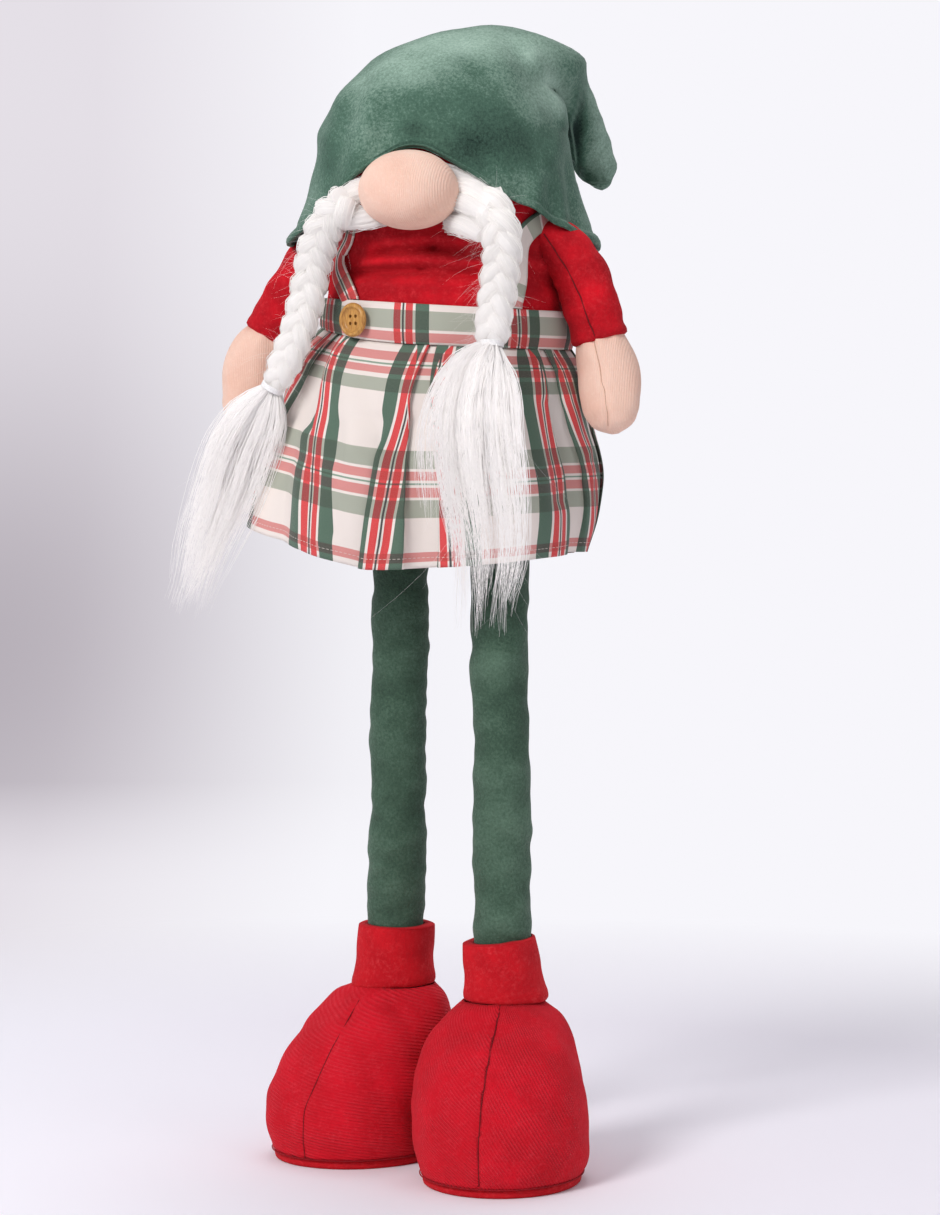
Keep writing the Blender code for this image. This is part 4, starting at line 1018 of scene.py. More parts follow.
def make_hat():
    outside = eased(hat_grid(160), 3, slice(44, 60))
    rows = len(outside)
    place = np.arange(rows)
    normals = grid_normals(outside)
    slow = waves(outside, 0.085, 4) * 0.0011 + waves(outside, 0.034, 9) * 0.0006
    slow = slow + waves(outside, 0.030, 17, (1, 1, 0.35)) * 0.0005
    near_tip = np.clip((place - 84) / 18, 0, 1)[:, None]
    crumple = waves(outside, 0.026, 21, (0.6, 0.6, 2.2)) * 0.0008 * near_tip
    steady = np.clip(place / 5.0, 0, 1)[:, None]
    outside = outside + normals * ((slow + crumple) * steady)[..., None]
    outside = set_back(worked(outside, normals, HAT_FOLDS), TIP_EDGE, 0.014, 3.0)
    outside = outside + normals * np.interp(place, *HEM_ROLL)[:, None, None]
    normals = grid_normals(outside)
    thickness = np.interp(place, [0, 4, rows - 12, rows - 1], [0.0030, 0.0024, 0.0024, 0.0010])
    inside = outside - normals * thickness[:, None, None]
    # Painted light and shade over the velvet's random nap
    nap_and_painted_light = patches(outside, normals, HAT_LIGHT_AND_NAP) + 0.08 * waves(outside, 0.045, 31)
    nap_and_painted_light = nap_and_painted_light + 0.05 * waves(outside, 0.016, 37)
    mesh = hat_mesh(outside, inside[:LINING_ROWS], nap_and_painted_light)
    piece("velvet_hat", mesh, VELVET, ("hat",))
    hem = outside[HEM_ROW] + normals[HEM_ROW] * 0.0001
    sewn("hat_hem_stitches", [hem], GREEN_THREAD, 0.0030, 0.0021, 0.00042, closed=True)


def hat_mesh(outside, inside, nap_and_painted_light):
    """The hat's outside up to its closed tip, and its lining up to a dome over the head."""
    crown = inside[-1]
    middle = crown.mean(axis=0)
    dome = [middle + (crown - middle) * size + UPWARDS * rise for size, rise in LINING_DOME]
    lining = np.concatenate([inside, np.array(dome)])
    # The lining gets painted shade all over
    lining_shade = np.full(lining.shape[:2], LINING_SHADE)
    facts = {"nap_and_painted_light": np.concatenate([lining_shade, nap_and_painted_light])}
    return closed_mesh("velvet_hat", [np.concatenate([lining[::-1], outside])], facts=facts)


make_hat()


# Body

BODY_SHAPE = (
    (-0.0210, (0.50, 0.48)),
    (-0.0170, (0.80, 0.78)),
    (-0.0100, (0.955, 0.95)),
    (0.0000, (1.00, 1.00)),
    (0.0240, (1.00, 1.00)),
    (0.0450, (0.965, 0.96)),
    (0.0680, (0.93, 0.93)),
    (0.0860, (0.93, 0.94)),
)
# The head inside the hat: heights of its sides, then the rise and size of its dome's rings
HEAD_LEVELS = (0.598, 0.603, 0.610, 0.616)
HEAD_INSET = 0.0085
HEAD_DOME = ((0.45, 0.90), (0.75, 0.68), (0.93, 0.38))
DOME_RISE = 0.012
BODY_FOLDS = (
    ((385, 240), (470, 239), 1.4, 6),
    ((376, 252), (430, 247), -5.2, 4.5),
    ((430, 247), (484, 256), -5.2, 4.5),
    ((370, 262), (425, 259), 2.6, 6),
    ((425, 259), (485, 266), 2.6, 6),
    ((356, 273), (420, 268), -4.6, 4.5),
    ((420, 268), (480, 276), -4.0, 4.5),
    ((365, 284), (470, 285), 2.2, 6),
    ((520, 246), (575, 262), -1.6, 6),
    ((512, 268), (560, 284), -1.4, 6),
    ((520, 257), (570, 272), 1.2, 6),
)
# Painted shade in the folds: x, y, strength, radius across and down, in pixels
BODY_SHADE = (
    (418, 227, -0.70, 50, 7),
    (430, 252, -0.70, 48, 5),
    (408, 270, -0.70, 56, 5),
    (380, 290, -0.25, 30, 8),
    (545, 252, -0.35, 34, 7),
    (536, 276, -0.30, 28, 6),
)


def body_surface(angle, height, clear=0.0):
    """Points of the torso's outside at angles and heights, or clear of it."""
    wide, deep = np.moveaxis(through(BODY_SHAPE, np.asarray(height) - WAIST), -1, 0)
    x = (BODY_HALF_WIDTH * wide + clear) * np.sin(angle)
    y = -(BODY_HALF_DEPTH * deep + clear) * np.cos(angle)
    return np.stack([x, y, np.broadcast_to(height, x.shape)], axis=-1)


def make_body():
    columns = 120
    angle = ring_angles(columns)
    heights = WAIST + np.concatenate([[-0.021, -0.0195, -0.017], np.linspace(-0.014, 0.084, 58)])
    torso = body_surface(*np.broadcast_arrays((angle + HAT_TURN)[None, :], heights[:, None]))
    head = [hat_surface(angle, np.full(columns, level), HEAD_INSET) for level in HEAD_LEVELS]
    dome = []
    for rise, size in HEAD_DOME:
        level = np.full((columns, 1), CROWN - 0.002 + DOME_RISE * rise)
        dome.append(np.concatenate([head[-1][:, :2] * size, level], axis=1))
    grid = np.concatenate([torso, np.array(head), np.array(dome)])
    normals = grid_normals(grid)
    soft = waves(grid, 0.036, 5, (0.5, 0.5, 1.6)) * 0.0007
    # Under the band and inside the hat the torso stays smooth
    borders = [WAIST + height for height in (0.024, 0.034, 0.075, 0.084)]
    bare = np.interp(grid[..., 2], borders, [0, 1, 1, 0])
    grid = grid + normals * (soft * bare)[..., None]
    grid = np.where(bare[..., None] > 0, worked(grid, normals, BODY_FOLDS), grid)
    # Painted shade in the folds, over random wear of the pile
    wear_and_shade = 0.08 * waves(grid, 0.03, 6) + patches(grid, normals, BODY_SHADE)
    formed("plush_body", [grid], PLUSH, "plush_red", ("body",), fill=0.5, facts={"wear_and_shade": wear_and_shade})


make_body()


# Nose

NOSE_CENTRE = np.array([0.003, -0.0705, WAIST + 0.0880])
NOSE_SIZES = np.array([0.0300, 0.0270, 0.0228])
NOSE_TILT = math.radians(4.0)


def ball_grid(centre, sizes, tilt, rows, columns):
    """A ball with its poles left and right, so that its seam goes round it from pole to pole."""
    rise = np.linspace(0.03, math.pi - 0.03, rows)[:, None]
    angle = ring_angles(columns)[None, :]
    x = np.cos(rise) * np.ones_like(angle)
    y = np.sin(rise) * np.cos(angle)
    z = np.sin(rise) * np.sin(angle)
    ball = np.stack([x, y, z], axis=-1) * sizes
    turn = np.array([[math.cos(tilt), 0, math.sin(tilt)], [0, 1, 0], [-math.sin(tilt), 0, math.cos(tilt)]])
    return ball @ turn.T + centre


def make_nose():
    grid = ball_grid(NOSE_CENTRE, NOSE_SIZES, NOSE_TILT, 56, 96)
    grid = grid + grid_normals(grid) * (waves(grid, 0.030, 3) * 0.0005)[..., None]
    # Where it is sewn on, the ball is flatter
    flat = np.interp(grid[..., 1], [-0.062, -0.045], [0.0, 1.0])[..., None]
    grid = grid + FRONT * 0.006 * flat
    formed("knit_nose", [grid], KNIT, "knit_nose", ("nose",), fill=0.5)


make_nose()


# Sleeves and hands

SLEEVE_RADIUS = 0.0155
HAND_HALF_WIDTH = 0.0182
HAND_HALF_DEPTH = 0.0150


def beside_body(side, out_by, forward, rise):
    return np.array([side * (BODY_HALF_WIDTH + out_by), -forward, WAIST + rise])


RIGHT_ARM = [
    beside_body(1, -0.0195, 0.0060, 0.0620),
    beside_body(1, -0.0025, 0.0060, 0.0580),
    beside_body(1, 0.0115, 0.0070, 0.0420),
    beside_body(1, 0.0200, 0.0080, 0.0200),
    beside_body(1, 0.0250, 0.0080, 0.0020),
]
LEFT_ARM = [
    beside_body(-1, -0.0195, 0.0060, 0.0630),
    beside_body(-1, -0.0015, 0.0060, 0.0600),
    beside_body(-1, 0.0135, 0.0080, 0.0420),
    beside_body(-1, 0.0255, 0.0110, 0.0220),
    beside_body(-1, 0.0355, 0.0140, 0.0040),
]
HAND_ENDS = {
    "right": beside_body(1, 0.0360, 0.0140, -0.0515),
    "left": beside_body(-1, 0.0495, 0.0220, -0.0510),
}
ARM_COLUMNS = 64

# Seams and folds that the view shows, in the photograph's pixels
ARM_SEAMS = {"left": (), "right": ((544, 234), (556, 252), (573, 279), (584, 306), (596, 341))}
HAND_SEAMS = {"left": (), "right": ((593, 340), (599, 362), (603, 385), (607, 405), (608, 426))}
SLEEVE_FOLDS = {
    "left": [((268, 270), (282, 262), -0.9, 5), ((262, 290), (276, 280), 0.8, 6)],
    "right": [
        ((584, 262), (604, 276), -1.0, 6),
        ((560, 300), (575, 330), 0.8, 8),
        ((596, 290), (612, 300), -0.8, 5),
    ],
}


def make_sleeve(side, path, seed):
    sizes = (
        (0.0, (SLEEVE_RADIUS * 0.80, SLEEVE_RADIUS * 0.80)),
        (0.25, (SLEEVE_RADIUS, SLEEVE_RADIUS * 0.95)),
        (1.0, (SLEEVE_RADIUS * 1.03, SLEEVE_RADIUS * 0.90)),
    )
    grid, t = tube_grid(path, sizes, ARM_COLUMNS, 64)
    centres = row_centres(grid)
    normals = grid_normals(grid)
    rings = waves(centres * np.array([1.0, 0.2, 2.0]) + 0.15 * (grid - centres), 0.020, seed) * 0.0004
    soft = waves(grid, 0.026, seed + 1) * 0.0004
    # The cuff of the sleeve is turned in where the hand is sewn to it
    edge = np.interp(t, [0.0, 0.90, 0.95, 0.985, 1.0], [0, 0, 0.0009, 0.0006, -0.0012])[:, None]
    calm = np.interp(t, [0.0, 0.86, 0.97, 1.0], [1, 1, 0.2, 0.0])[:, None]
    grid = grid + normals * ((rings + soft) * calm + edge)[..., None]
    seam = ARM_SEAMS[side]
    grid = worked(grid, normals, furrow(seam, 1.3, 2.6, 0.5, 8) + SLEEVE_FOLDS[side])
    name = "plush_sleeve_" + side
    mesh = plumped(closed_mesh(name, [grid], facts={"wear_and_shade": 0.1 * waves(grid, 0.02, seed + 2)}))
    piece(name, mesh, PLUSH, ("sleeve_" + side,))
    if seam:
        line = along_line(grid, normals, seam, 0.0002)
        piped("sleeve_seam_" + side, [line], 0.00045, RED_THREAD, sides=5)


def make_hand(side, path, seed):
    wrist = path[-1]
    along = unit(wrist - path[-2])
    finish = HAND_ENDS[side]
    start = wrist - along * 0.0006
    bend = start + along * (np.linalg.norm(finish - start) / 3)
    hand_path = [start, bend, start + (finish - start) * 0.68, finish]
    sizes = (
        (0.0, (SLEEVE_RADIUS * 0.93, SLEEVE_RADIUS * 0.80)),
        (0.06, (SLEEVE_RADIUS * 1.0, SLEEVE_RADIUS * 0.87)),
        (0.30, (HAND_HALF_WIDTH * 0.98, HAND_HALF_DEPTH)),
        (0.62, (HAND_HALF_WIDTH, HAND_HALF_DEPTH * 0.98)),
        (0.82, (HAND_HALF_WIDTH * 0.83, HAND_HALF_DEPTH * 0.83)),
        (0.94, (HAND_HALF_WIDTH * 0.50, HAND_HALF_DEPTH * 0.52)),
        (1.0, (HAND_HALF_WIDTH * 0.10, HAND_HALF_DEPTH * 0.10)),
    )
    grid, t = tube_grid(hand_path, sizes, ARM_COLUMNS, 60)
    normals = grid_normals(grid)
    soft = waves(grid, 0.026, seed + 4) * 0.0005
    # A mitten is two halves sewn together: the seam runs down its sides as a fine furrow
    around = ring_angles(ARM_COLUMNS)[None, :]
    furrows = np.exp(-((np.cos(around) / 0.05) ** 2))
    furrows = furrows * np.interp(t, [0, 0.03, 0.9, 1], [0, 1, 1, 0])[:, None]
    gathers = np.sin(9 * around + seed) * np.interp(t, [0, 0.02, 0.16], [1, 1, 0])[:, None] * 0.0004
    grid = grid + normals * (soft - 0.0006 * furrows + gathers)[..., None]
    seam = HAND_SEAMS[side]
    grid = worked(grid, normals, furrow(seam, 1.5, 2.4, 0.6, 9))
    if seam:
        line = along_line(grid, normals, seam, 0.0002)
        piped("hand_seam_" + side, [line], 0.00028, SKIN_THREAD, sides=5)
    name = "knit_hand_" + side
    piece(name, plumped(closed_mesh(name, [grid])), KNIT, ("hand_" + side,))


for arm_side, arm_path, arm_seed in (("left", LEFT_ARM, 40), ("right", RIGHT_ARM, 60)):
    make_sleeve(arm_side, arm_path, arm_seed)
    make_hand(arm_side, arm_path, arm_seed)


# Legs

LEG_RADIUS = 0.0170
LEGS = {"left": (-0.0455, 0.0330), "right": (0.0370, -0.0040)}
BODY_FOOT = WAIST - 0.021


def leg_route(leg, foot):
    """From the foot straight up to the ankle, and from there aslant to the hip."""
    ankle = np.array([leg[0], leg[1], BOOT_TOP + CUFF_HEIGHT + 0.012])
    hip = np.array([math.copysign(0.032, leg[0]), leg[1] * 0.30, BODY_FOOT + 0.012])
    upwards = [ankle + (hip - ankle) * share for share in (0.3, 0.65, 1.0)]
    return np.array([[leg[0], leg[1], foot], ankle, *upwards])


def make_leg(side, seed):
    rows = 220
    columns = 64
    route = leg_route(LEGS[side], 0.0900)
    lengths = np.concatenate([[0.0], np.cumsum(np.linalg.norm(np.diff(route, axis=0), axis=1))])
    places = np.linspace(0, 1, rows)
    middle = relaxed(np.stack([np.interp(places, lengths / lengths[-1], axis) for axis in route.T], 1), 40)
    angle = ring_angles(columns)
    ring = np.stack([np.sin(angle), -np.cos(angle), np.zeros(columns)], -1)
    grid = middle[:, None] + LEG_RADIUS * ring
    normals = grid_normals(grid)
    # The tube of velvet has crept down its core: uneven shallow rings, closer above the cuff
    rings = waves(grid, 0.026, seed, (0.35, 0.35, 1.0)) * 0.0007
    rings = rings + waves(grid, 0.011, seed + 1, (0.56, 0.56, 1.0)) * 0.00035
    soft = waves(grid, 0.05, seed + 2) * 0.0006
    height = grid[..., 2]
    quiet = np.interp(height, [0.10, 0.13, 0.145, 0.47], [0, 0.2, 1, 1])
    grid = grid + normals * ((rings + soft) * quiet)[..., None]
    # Painted light and shade: lighter on the rings' crests, darker in their hollows, and painted shade
    # darkening the legs towards the top, under the skirt
    nap_and_painted_light = 0.05 * waves(grid, 0.05, seed + 3, (1, 1, 0.5)) + 0.16 * rings / 0.0010
    nap_and_painted_light = nap_and_painted_light - np.interp(grid[..., 2], [0.30, 0.375, 0.42], [0.0, 0.45, 0.7])
    name = "velvet_leg_" + side
    replaced = ("leg_cover_" + side,)
    formed(name, [grid], LEG_VELVET, "velvet_legs", replaced, fill=0.5, facts={"nap_and_painted_light": nap_and_painted_light})


make_leg("left", 70)
make_leg("right", 80)


# Boots

BOOT_HALF_WIDTH = 0.0535
BOOT_TOE = 0.0860
BOOT_HEEL = 0.0390
CUFF_RADIUS = 0.0235
TOE_TURNS = {"left": math.radians(-33.0), "right": math.radians(7.0)}
LEANS = {"left": 0.0, "right": 0.0060}
BOOT_SHAPE = (
    (0.00, (0.940, 0.960, 0.950)),
    (0.10, (0.995, 0.998, 0.990)),
    (0.24, (1.000, 1.000, 1.000)),
    (0.42, (0.980, 0.935, 0.975)),
    (0.62, (0.905, 0.800, 0.920)),
    (0.80, (0.790, 0.620, 0.830)),
    (0.92, (0.640, 0.430, 0.730)),
    (1.00, (0.450, 0.272, 0.600)),
)


def boot_outline(share, angle, inset, lean):
    """Plan of the boot at shares of its height: toe along -Y, wide ball and narrower heel."""
    wide, toe, heel = np.moveaxis(through(BOOT_SHAPE, share), -1, 0)
    front = BOOT_TOE * toe - inset
    back = BOOT_HEEL * heel - inset
    rear = (1.0 - np.cos(angle)) / 2
    narrowing = 1.0 - 0.24 * (1.0 - share) * rear * rear
    x = (BOOT_HALF_WIDTH * wide - inset) * np.sin(angle) * narrowing + lean * (1.0 - share)
    y = (back - front) / 2 - (front + back) / 2 * np.cos(angle)
    return x, y


def set_down(grid, side):
    """A grid made about its own leg, turned and moved to where that boot stands."""
    turn = TOE_TURNS[side]
    leg = LEGS[side]
    x = grid[..., 0] * math.cos(turn) - grid[..., 1] * math.sin(turn) + leg[0]
    y = grid[..., 0] * math.sin(turn) + grid[..., 1] * math.cos(turn) + leg[1]
    return np.stack([x, y, grid[..., 2]], axis=-1)


# The seam up the front of each boot, in the photograph's pixels
BOOT_SEAMS = {
    "left": ((361, 997), (330, 1052), (304, 1110), (303, 1140), (306, 1165)),
    "right": ((500, 1010), (489, 1058), (481, 1107), (478, 1150), (479, 1188)),
}
BOOT_FOLDS = {
    "left": [
        ((372, 1006), (408, 1050), 1.4, 14),
        ((345, 1075), (380, 1110), 1.2, 16),
        ((300, 1090), (290, 1140), -0.8, 12),
    ],
    "right": [
        ((515, 1020), (552, 1080), 1.0, 16),
        ((500, 1085), (545, 1140), 1.0, 14),
        ((530, 1090), (560, 1120), -1.0, 10),
    ],
}
BOOT_COLUMNS = 208
BOOT_ROWS = 64
FELT_THICKNESS = 0.0020
# Rings of a sole: their size and height
SOLE_RINGS = (
    (0.30, 0.0),
    (0.97, 0.0),
    (0.993, 0.0007),
    (1.0, 0.0020),
    (1.0, 0.0040),
    (0.99, 0.0054),
    (0.30, 0.0055),
)
# Rings of a cuff from its top down: how far past its radius, and the height above the boot
CUFF_RINGS = (
    (-0.0014, CUFF_HEIGHT),
    (-0.0003, CUFF_HEIGHT - 0.0006),
    (0.0001, CUFF_HEIGHT - 0.0020),
    (-0.0001, 0.66 * CUFF_HEIGHT),
    (-0.0006, 0.45 * CUFF_HEIGHT),
    (0.0002, 0.25 * CUFF_HEIGHT),
    (0.0010, 0.0050),
    (0.0008, 0.0020),
    (-0.0004, 0.0003),
)


def half_turns(angle):
    """The same angles counted from -pi to pi."""
    return np.where(angle > math.pi, angle - 2 * math.pi, angle)


def make_boot(side, seed):
    angle = ring_angles(BOOT_COLUMNS)
    foot = SOLE_THICKNESS + 0.0001
    shares = np.linspace(0, 1, BOOT_ROWS)
    share_grid = np.broadcast_to(shares[:, None], (BOOT_ROWS, BOOT_COLUMNS))
    x, y = boot_outline(share_grid, angle[None, :], 0.0, LEANS[side])
    grid = set_down(np.stack([x, y, foot + (BOOT_TOP - foot) * share_grid], axis=-1), side)
    normals = grid_normals(grid)
    calm = np.interp(shares, [0.0, 0.05, 0.93, 1.0], [0, 1, 1, 0.2])[:, None]
    soft = waves(grid, 0.055, seed) * 0.0010 + waves(grid, 0.022, seed + 1) * 0.0004
    grid = grid + normals * (soft * calm)[..., None]
    seam = BOOT_SEAMS[side]
    grid = worked(grid, normals, furrow(seam, 1.3, 3.4, 0.6, 9) + BOOT_FOLDS[side])
    normals = grid_normals(grid)
    inside = grid - normals * FELT_THICKNESS
    inside[0, :, 2] = grid[0, :, 2]
    # Ribs follow the height on the vamp's right half and slant on its left one
    around = half_turns(angle) * 0.055
    rise = grid[..., 2]
    if side == "left":
        rib = rise * 0.98 + around * 0.16
    else:
        places = photo_xy(grid)
        left_of_seam = places[..., 0] < line_across(places, seam)
        rib = np.where(left_of_seam, rise * 0.82 + around * 0.60, rise * 0.55 + around * 0.84)
    facts = {"rib": rib, "wear_and_shade": 0.12 * waves(grid, 0.03, seed + 5)}
    formed("felt_boot_" + side, [grid, inside], FELT, "felt_boots", ("boot_upper_" + side,), facts=facts)
    seam_line = along_line(grid, normals, seam, 0.0001)
    piped("boot_seam_" + side, [seam_line], 0.0003, RED_THREAD, sides=5)


def sole_outline(side, share, inset, height):
    """A level ring round the foot of a boot."""
    plan = boot_outline(np.full(BOOT_COLUMNS, share), ring_angles(BOOT_COLUMNS), inset, LEANS[side])
    return np.stack([*plan, np.full(BOOT_COLUMNS, height)], axis=-1)


def make_sole(side):
    outline = sole_outline(side, 0.0, 0.0010, 0.0)
    middle = outline.mean(axis=0)
    rings = np.array([middle + (outline - middle) * size + UPWARDS * height for size, height in SOLE_RINGS])
    layers = [set_down(rings, side)]
    formed("felt_sole_" + side, layers, PLAIN_FELT, "felt_soles", ("boot_sole_" + side,))
    edge = set_down(sole_outline(side, 0.02, 0.0001, SOLE_THICKNESS + 0.0001), side)
    piped("sole_piping_" + side, [edge], 0.0004, SOLE_EDGE, closed=True)


def make_cuff(side, seed):
    angle = ring_angles(72)
    past, height = through(stations_of(CUFF_RINGS), np.linspace(0, 1, 44)).T[..., None]
    radius = CUFF_RADIUS + past
    level = np.broadcast_to(BOOT_TOP + height, (44, len(angle)))
    grid = set_down(np.stack([radius * np.sin(angle), -radius * np.cos(angle), level], axis=-1), side)
    centres = row_centres(grid)
    normals = grid_normals(grid)
    normals[..., 2] *= 0.3
    grid = grid + normals * (waves(grid, 0.024, seed, (1, 1, 0.6)) * 0.0007)[..., None]
    # The view shows each cuff askew: wider at its top or foot on one side, and drawn up or down there
    away = ((grid - centres) @ RIGHT) / CUFF_RADIUS
    up = (grid[..., 2] - BOOT_TOP) / CUFF_HEIGHT
    if side == "right":
        shift = np.maximum(away, 0) * (0.0042 - 0.0090 * up)
        grid[..., 2] += 0.0022 * away * up
    else:
        shift = np.minimum(away, 0) * (0.0030 - 0.0034 * up)
        grid[..., 2] += 0.0030 * np.minimum(away, 0) * (1 - up)
    grid = grid + RIGHT * shift[..., None]
    inside = grid.copy()
    inside[..., :2] = centres[..., :2] + unit((grid - centres)[..., :2]) * (LEG_RADIUS + 0.0004)
    facts = {"wear_and_shade": 0.1 * waves(grid, 0.02, seed + 3)}
    replaced = ("boot_cuff_" + side,)
    formed("felt_cuff_" + side, [grid, inside], PLAIN_FELT, "felt_cuffs", replaced, facts=facts)


for boot_side, boot_seed in (("left", 90), ("right", 100)):
    make_boot(boot_side, boot_seed)
    make_sole(boot_side)
    make_cuff(boot_side, boot_seed + 50)


# Dress

PERIOD = WARP_PERIOD / 1000
PANELS = 8
DRESS_FIT = 0.0009
BAND_THICKNESS = 0.0024
STRAP_WIDTH = 0.0125
STRAP_THICKNESS = 0.0013


def flat_cloth(across, down, shape):
    """Where the points of a grid lie in the flat cloth."""
    return np.stack([np.broadcast_to(across, shape), np.broadcast_to(down, shape)], axis=-1)


def band_top(angle):
    return WAIST + BAND_WIDTH - 0.060 * BODY_HALF_WIDTH * np.sin(angle)


def band_foot(angle):
    side = np.sin(angle)
    lift = np.where(side < 0, 0.0085 * side * side, 0.0)
    return WAIST - 0.045 * BODY_HALF_WIDTH * side + lift


# Where the band's cloth lies: from each angle on, the millimetres round the cloth at its start and end
BAND_CLOTH = (
    (-180.0, -120.0, 0.0, 78.0),
    (-120.0, -60.0, 0.0, 78.0),
    (-60.0, -27.8, -12.5, 29.0),
    (-27.8, -7.5, 15.4, 44.0),
    (-7.5, 35.8, -5.6, 50.7),
    (35.8, 80.0, -18.6, 39.2),
    (80.0, 130.0, 39.2, 104.0),
    (130.0, 180.0, 44.0, 110.0),
)


def make_band():
    angles = []
    left = []
    right = [BAND_CLOTH[-1][3]]
    for start, end, first, last in BAND_CLOTH:
        steps = int((end - start) / 2.0)
        share = np.arange(steps) / steps
        angles += list(start + (end - start) * share)
        left += list(first + (last - first) * share)
        right += list(first + (last - first) * share[1:]) + [last]
    angle = np.radians(np.array(angles))
    shares = np.linspace(0, 1, 14)
    foot = band_foot(angle)
    height = foot + (band_top(angle) - foot) * shares[:, None]
    angle = np.broadcast_to(angle, height.shape)
    grid = body_surface(angle, height, DRESS_FIT + BAND_THICKNESS)
    puff = np.sin(np.pi * np.clip(shares * 1.05, 0, 1))[:, None] ** 0.5 * 0.0005
    grid = grid + grid_normals(grid) * (waves(grid, 0.03, 7) * 0.0004 + puff - 0.0004)[..., None]
    inside = body_surface(angle, height, DRESS_FIT)
    down = (0.0778 - 0.0216 * shares)[:, None]
    uv = [flat_cloth(np.array(around) / 1000, down, height.shape) for around in (left, right[:-1])]
    band = formed("plaid_waistband", [grid, inside], PLAID, "plaid_band", ("waistband",), uv=uv)


make_band()

# Pleats round the skirt: by share of the way down, the angles of the two dark lines beside a
# pleat and of its two fold edges between them
PLEAT_SHARES = (0.0, 0.24, 0.5, 0.75, 1.0)
FRONT_PLEATS = (
    (
        (-52.0, -58.8, -69.0, -72.0, -73.0),
        (-41.2, -48.5, -52.0, -54.0, -55.0),
        (-41.0, -38.4, -34.2, -29.0, -24.2),
        (-39.6, -35.0, -30.2, -24.8, -20.0),
    ),
    (
        (8.2, 4.5, 1.0, 2.0, 4.0),
        (10.2, 6.0, 6.4, 10.0, 14.5),
        (10.4, 10.6, 16.0, 19.5, 24.0),
        (15.0, 14.6, 19.2, 23.2, 29.2),
    ),
    (
        (60.5, 59.5, 61.3, 66.5, 71.5),
        (64.5, 64.0, 68.5, 76.0, 82.0),
        (64.9, 66.5, 77.0, 88.0, 96.0),
        (72.0, 73.5, 86.2, 96.0, 104.0),
    ),
)
BACK_PLEATS = (112.0, 153.0, 194.0, 236.0, 278.0)
# Less cloth than this isn't folded, and a tuck lies this far before the next pleat
LEAST_FOLD = 0.0015
LEAST_TUCK = 0.0008
TUCK_BEFORE = 0.012
SKIRT_PLAN = (
    (0.00, (0.0022, 0.0022, 0.0000)),
    (0.04, (0.0065, 0.0060, -0.0010)),
    (0.12, (0.0120, 0.0120, -0.0020)),
    (0.35, (0.0190, 0.0190, -0.0030)),
    (0.55, (0.0230, 0.0230, -0.0060)),
    (0.80, (0.0260, 0.0255, -0.0125)),
    (1.00, (0.0250, 0.0260, -0.0190)),
)


def pleat_angles(share):
    """The eight pleats at a share of the way down, as (line, fold edge, fold edge, line) in degrees."""
    pleats = [[float(np.interp(share, PLEAT_SHARES, row)) for row in pleat] for pleat in FRONT_PLEATS]
    for middle in BACK_PLEATS:
        drift = 9.0 * share * math.sin(math.radians(middle - 15.0))
        open_by = np.interp(share, [0.0, 0.3, 1.0], [0.2, 3.0, 5.0])
        strip = np.interp(share, [0.0, 1.0], [3.0, 5.5])
        at = middle + drift
        pleats.append([at - open_by - strip, at - open_by, at + open_by, at + open_by + strip])
    return pleats


def skirt_row(share, cloth):
    """Degrees, depths and shares of a pleat for the cloth's points at one height."""
    wider, deeper, _ = through(SKIRT_PLAN, np.array([share]))[0]
    degrees = np.arange(-150.0, 450.0, 0.5)
    turned = np.radians(degrees)
    x = (BODY_HALF_WIDTH + wider) * np.sin(turned)
    y = -(BODY_HALF_DEPTH + deeper) * np.cos(turned)
    arcs = np.concatenate([[0.0], np.cumsum(np.hypot(np.diff(x), np.diff(y)))])

    def arc_at(angle):
        return float(np.interp(angle, degrees, arcs))

    pleats = pleat_angles(share)
    layer = np.interp(share, [0.0, 0.1, 1.0], [0.0006, 0.0011, 0.0030])
    turned_in, innermost = -1.6 * layer, -2.2 * layer
    knots = []
    for place, pleat in enumerate(pleats):
        first, left_edge, right_edge, last = (arc_at(angle) for angle in pleat)
        following = arc_at(pleats[place + 1][0] if place + 1 < PANELS else pleats[0][0] + 360.0)
        start = 2 * PERIOD * place
        finish = start + PERIOD
        left_fold = start + left_edge - first
        gap = right_edge - left_edge
        hidden = (PERIOD - (left_edge - first) - (last - right_edge) - gap) / 4
        knots.append((start, first, 0.0))
        if hidden > LEAST_FOLD:
            knots += [
                (left_fold, left_edge, 0.0),
                (left_fold + hidden, left_edge - hidden, turned_in),
                (left_fold + 2 * hidden, left_edge, innermost),
                (left_fold + 2 * hidden + gap, right_edge, innermost),
                (left_fold + 3 * hidden + gap, right_edge + hidden, turned_in),
                (left_fold + 4 * hidden + gap, right_edge, 0.0),
            ]
        knots.append((finish, last, 0.0))
        # Cloth to spare between two pleats is tucked in just before the next one
        spare = (PERIOD - (following - last)) / 2
        if spare > LEAST_TUCK:
            tuck = finish + PERIOD - TUCK_BEFORE
            edge = following - TUCK_BEFORE
            knots += [(tuck - spare, edge + spare, turned_in), (tuck, edge, 0.0)]
    knots.append((2 * PERIOD * PANELS, arc_at(pleats[0][0] + 360.0), 0.0))
    places, runs, depths = np.array(sorted(knots, key=lambda knot: knot[0])).T
    angle = np.interp(np.interp(cloth, places, runs), arcs, degrees)
    depth = np.interp(cloth, places, depths)
    middles = np.array([(pleat[1] + pleat[2]) / 2 for pleat in pleats])
    ring = np.concatenate([middles[-1:] - 360.0, middles, middles[:2] + 360.0])
    slot_at = np.clip(np.searchsorted(ring, angle, side="right") - 1, 0, len(ring) - 2)
    across = 2 * (angle - ring[slot_at]) / (ring[slot_at + 1] - ring[slot_at]) - 1
    return angle, depth, np.clip(across, -1, 1)


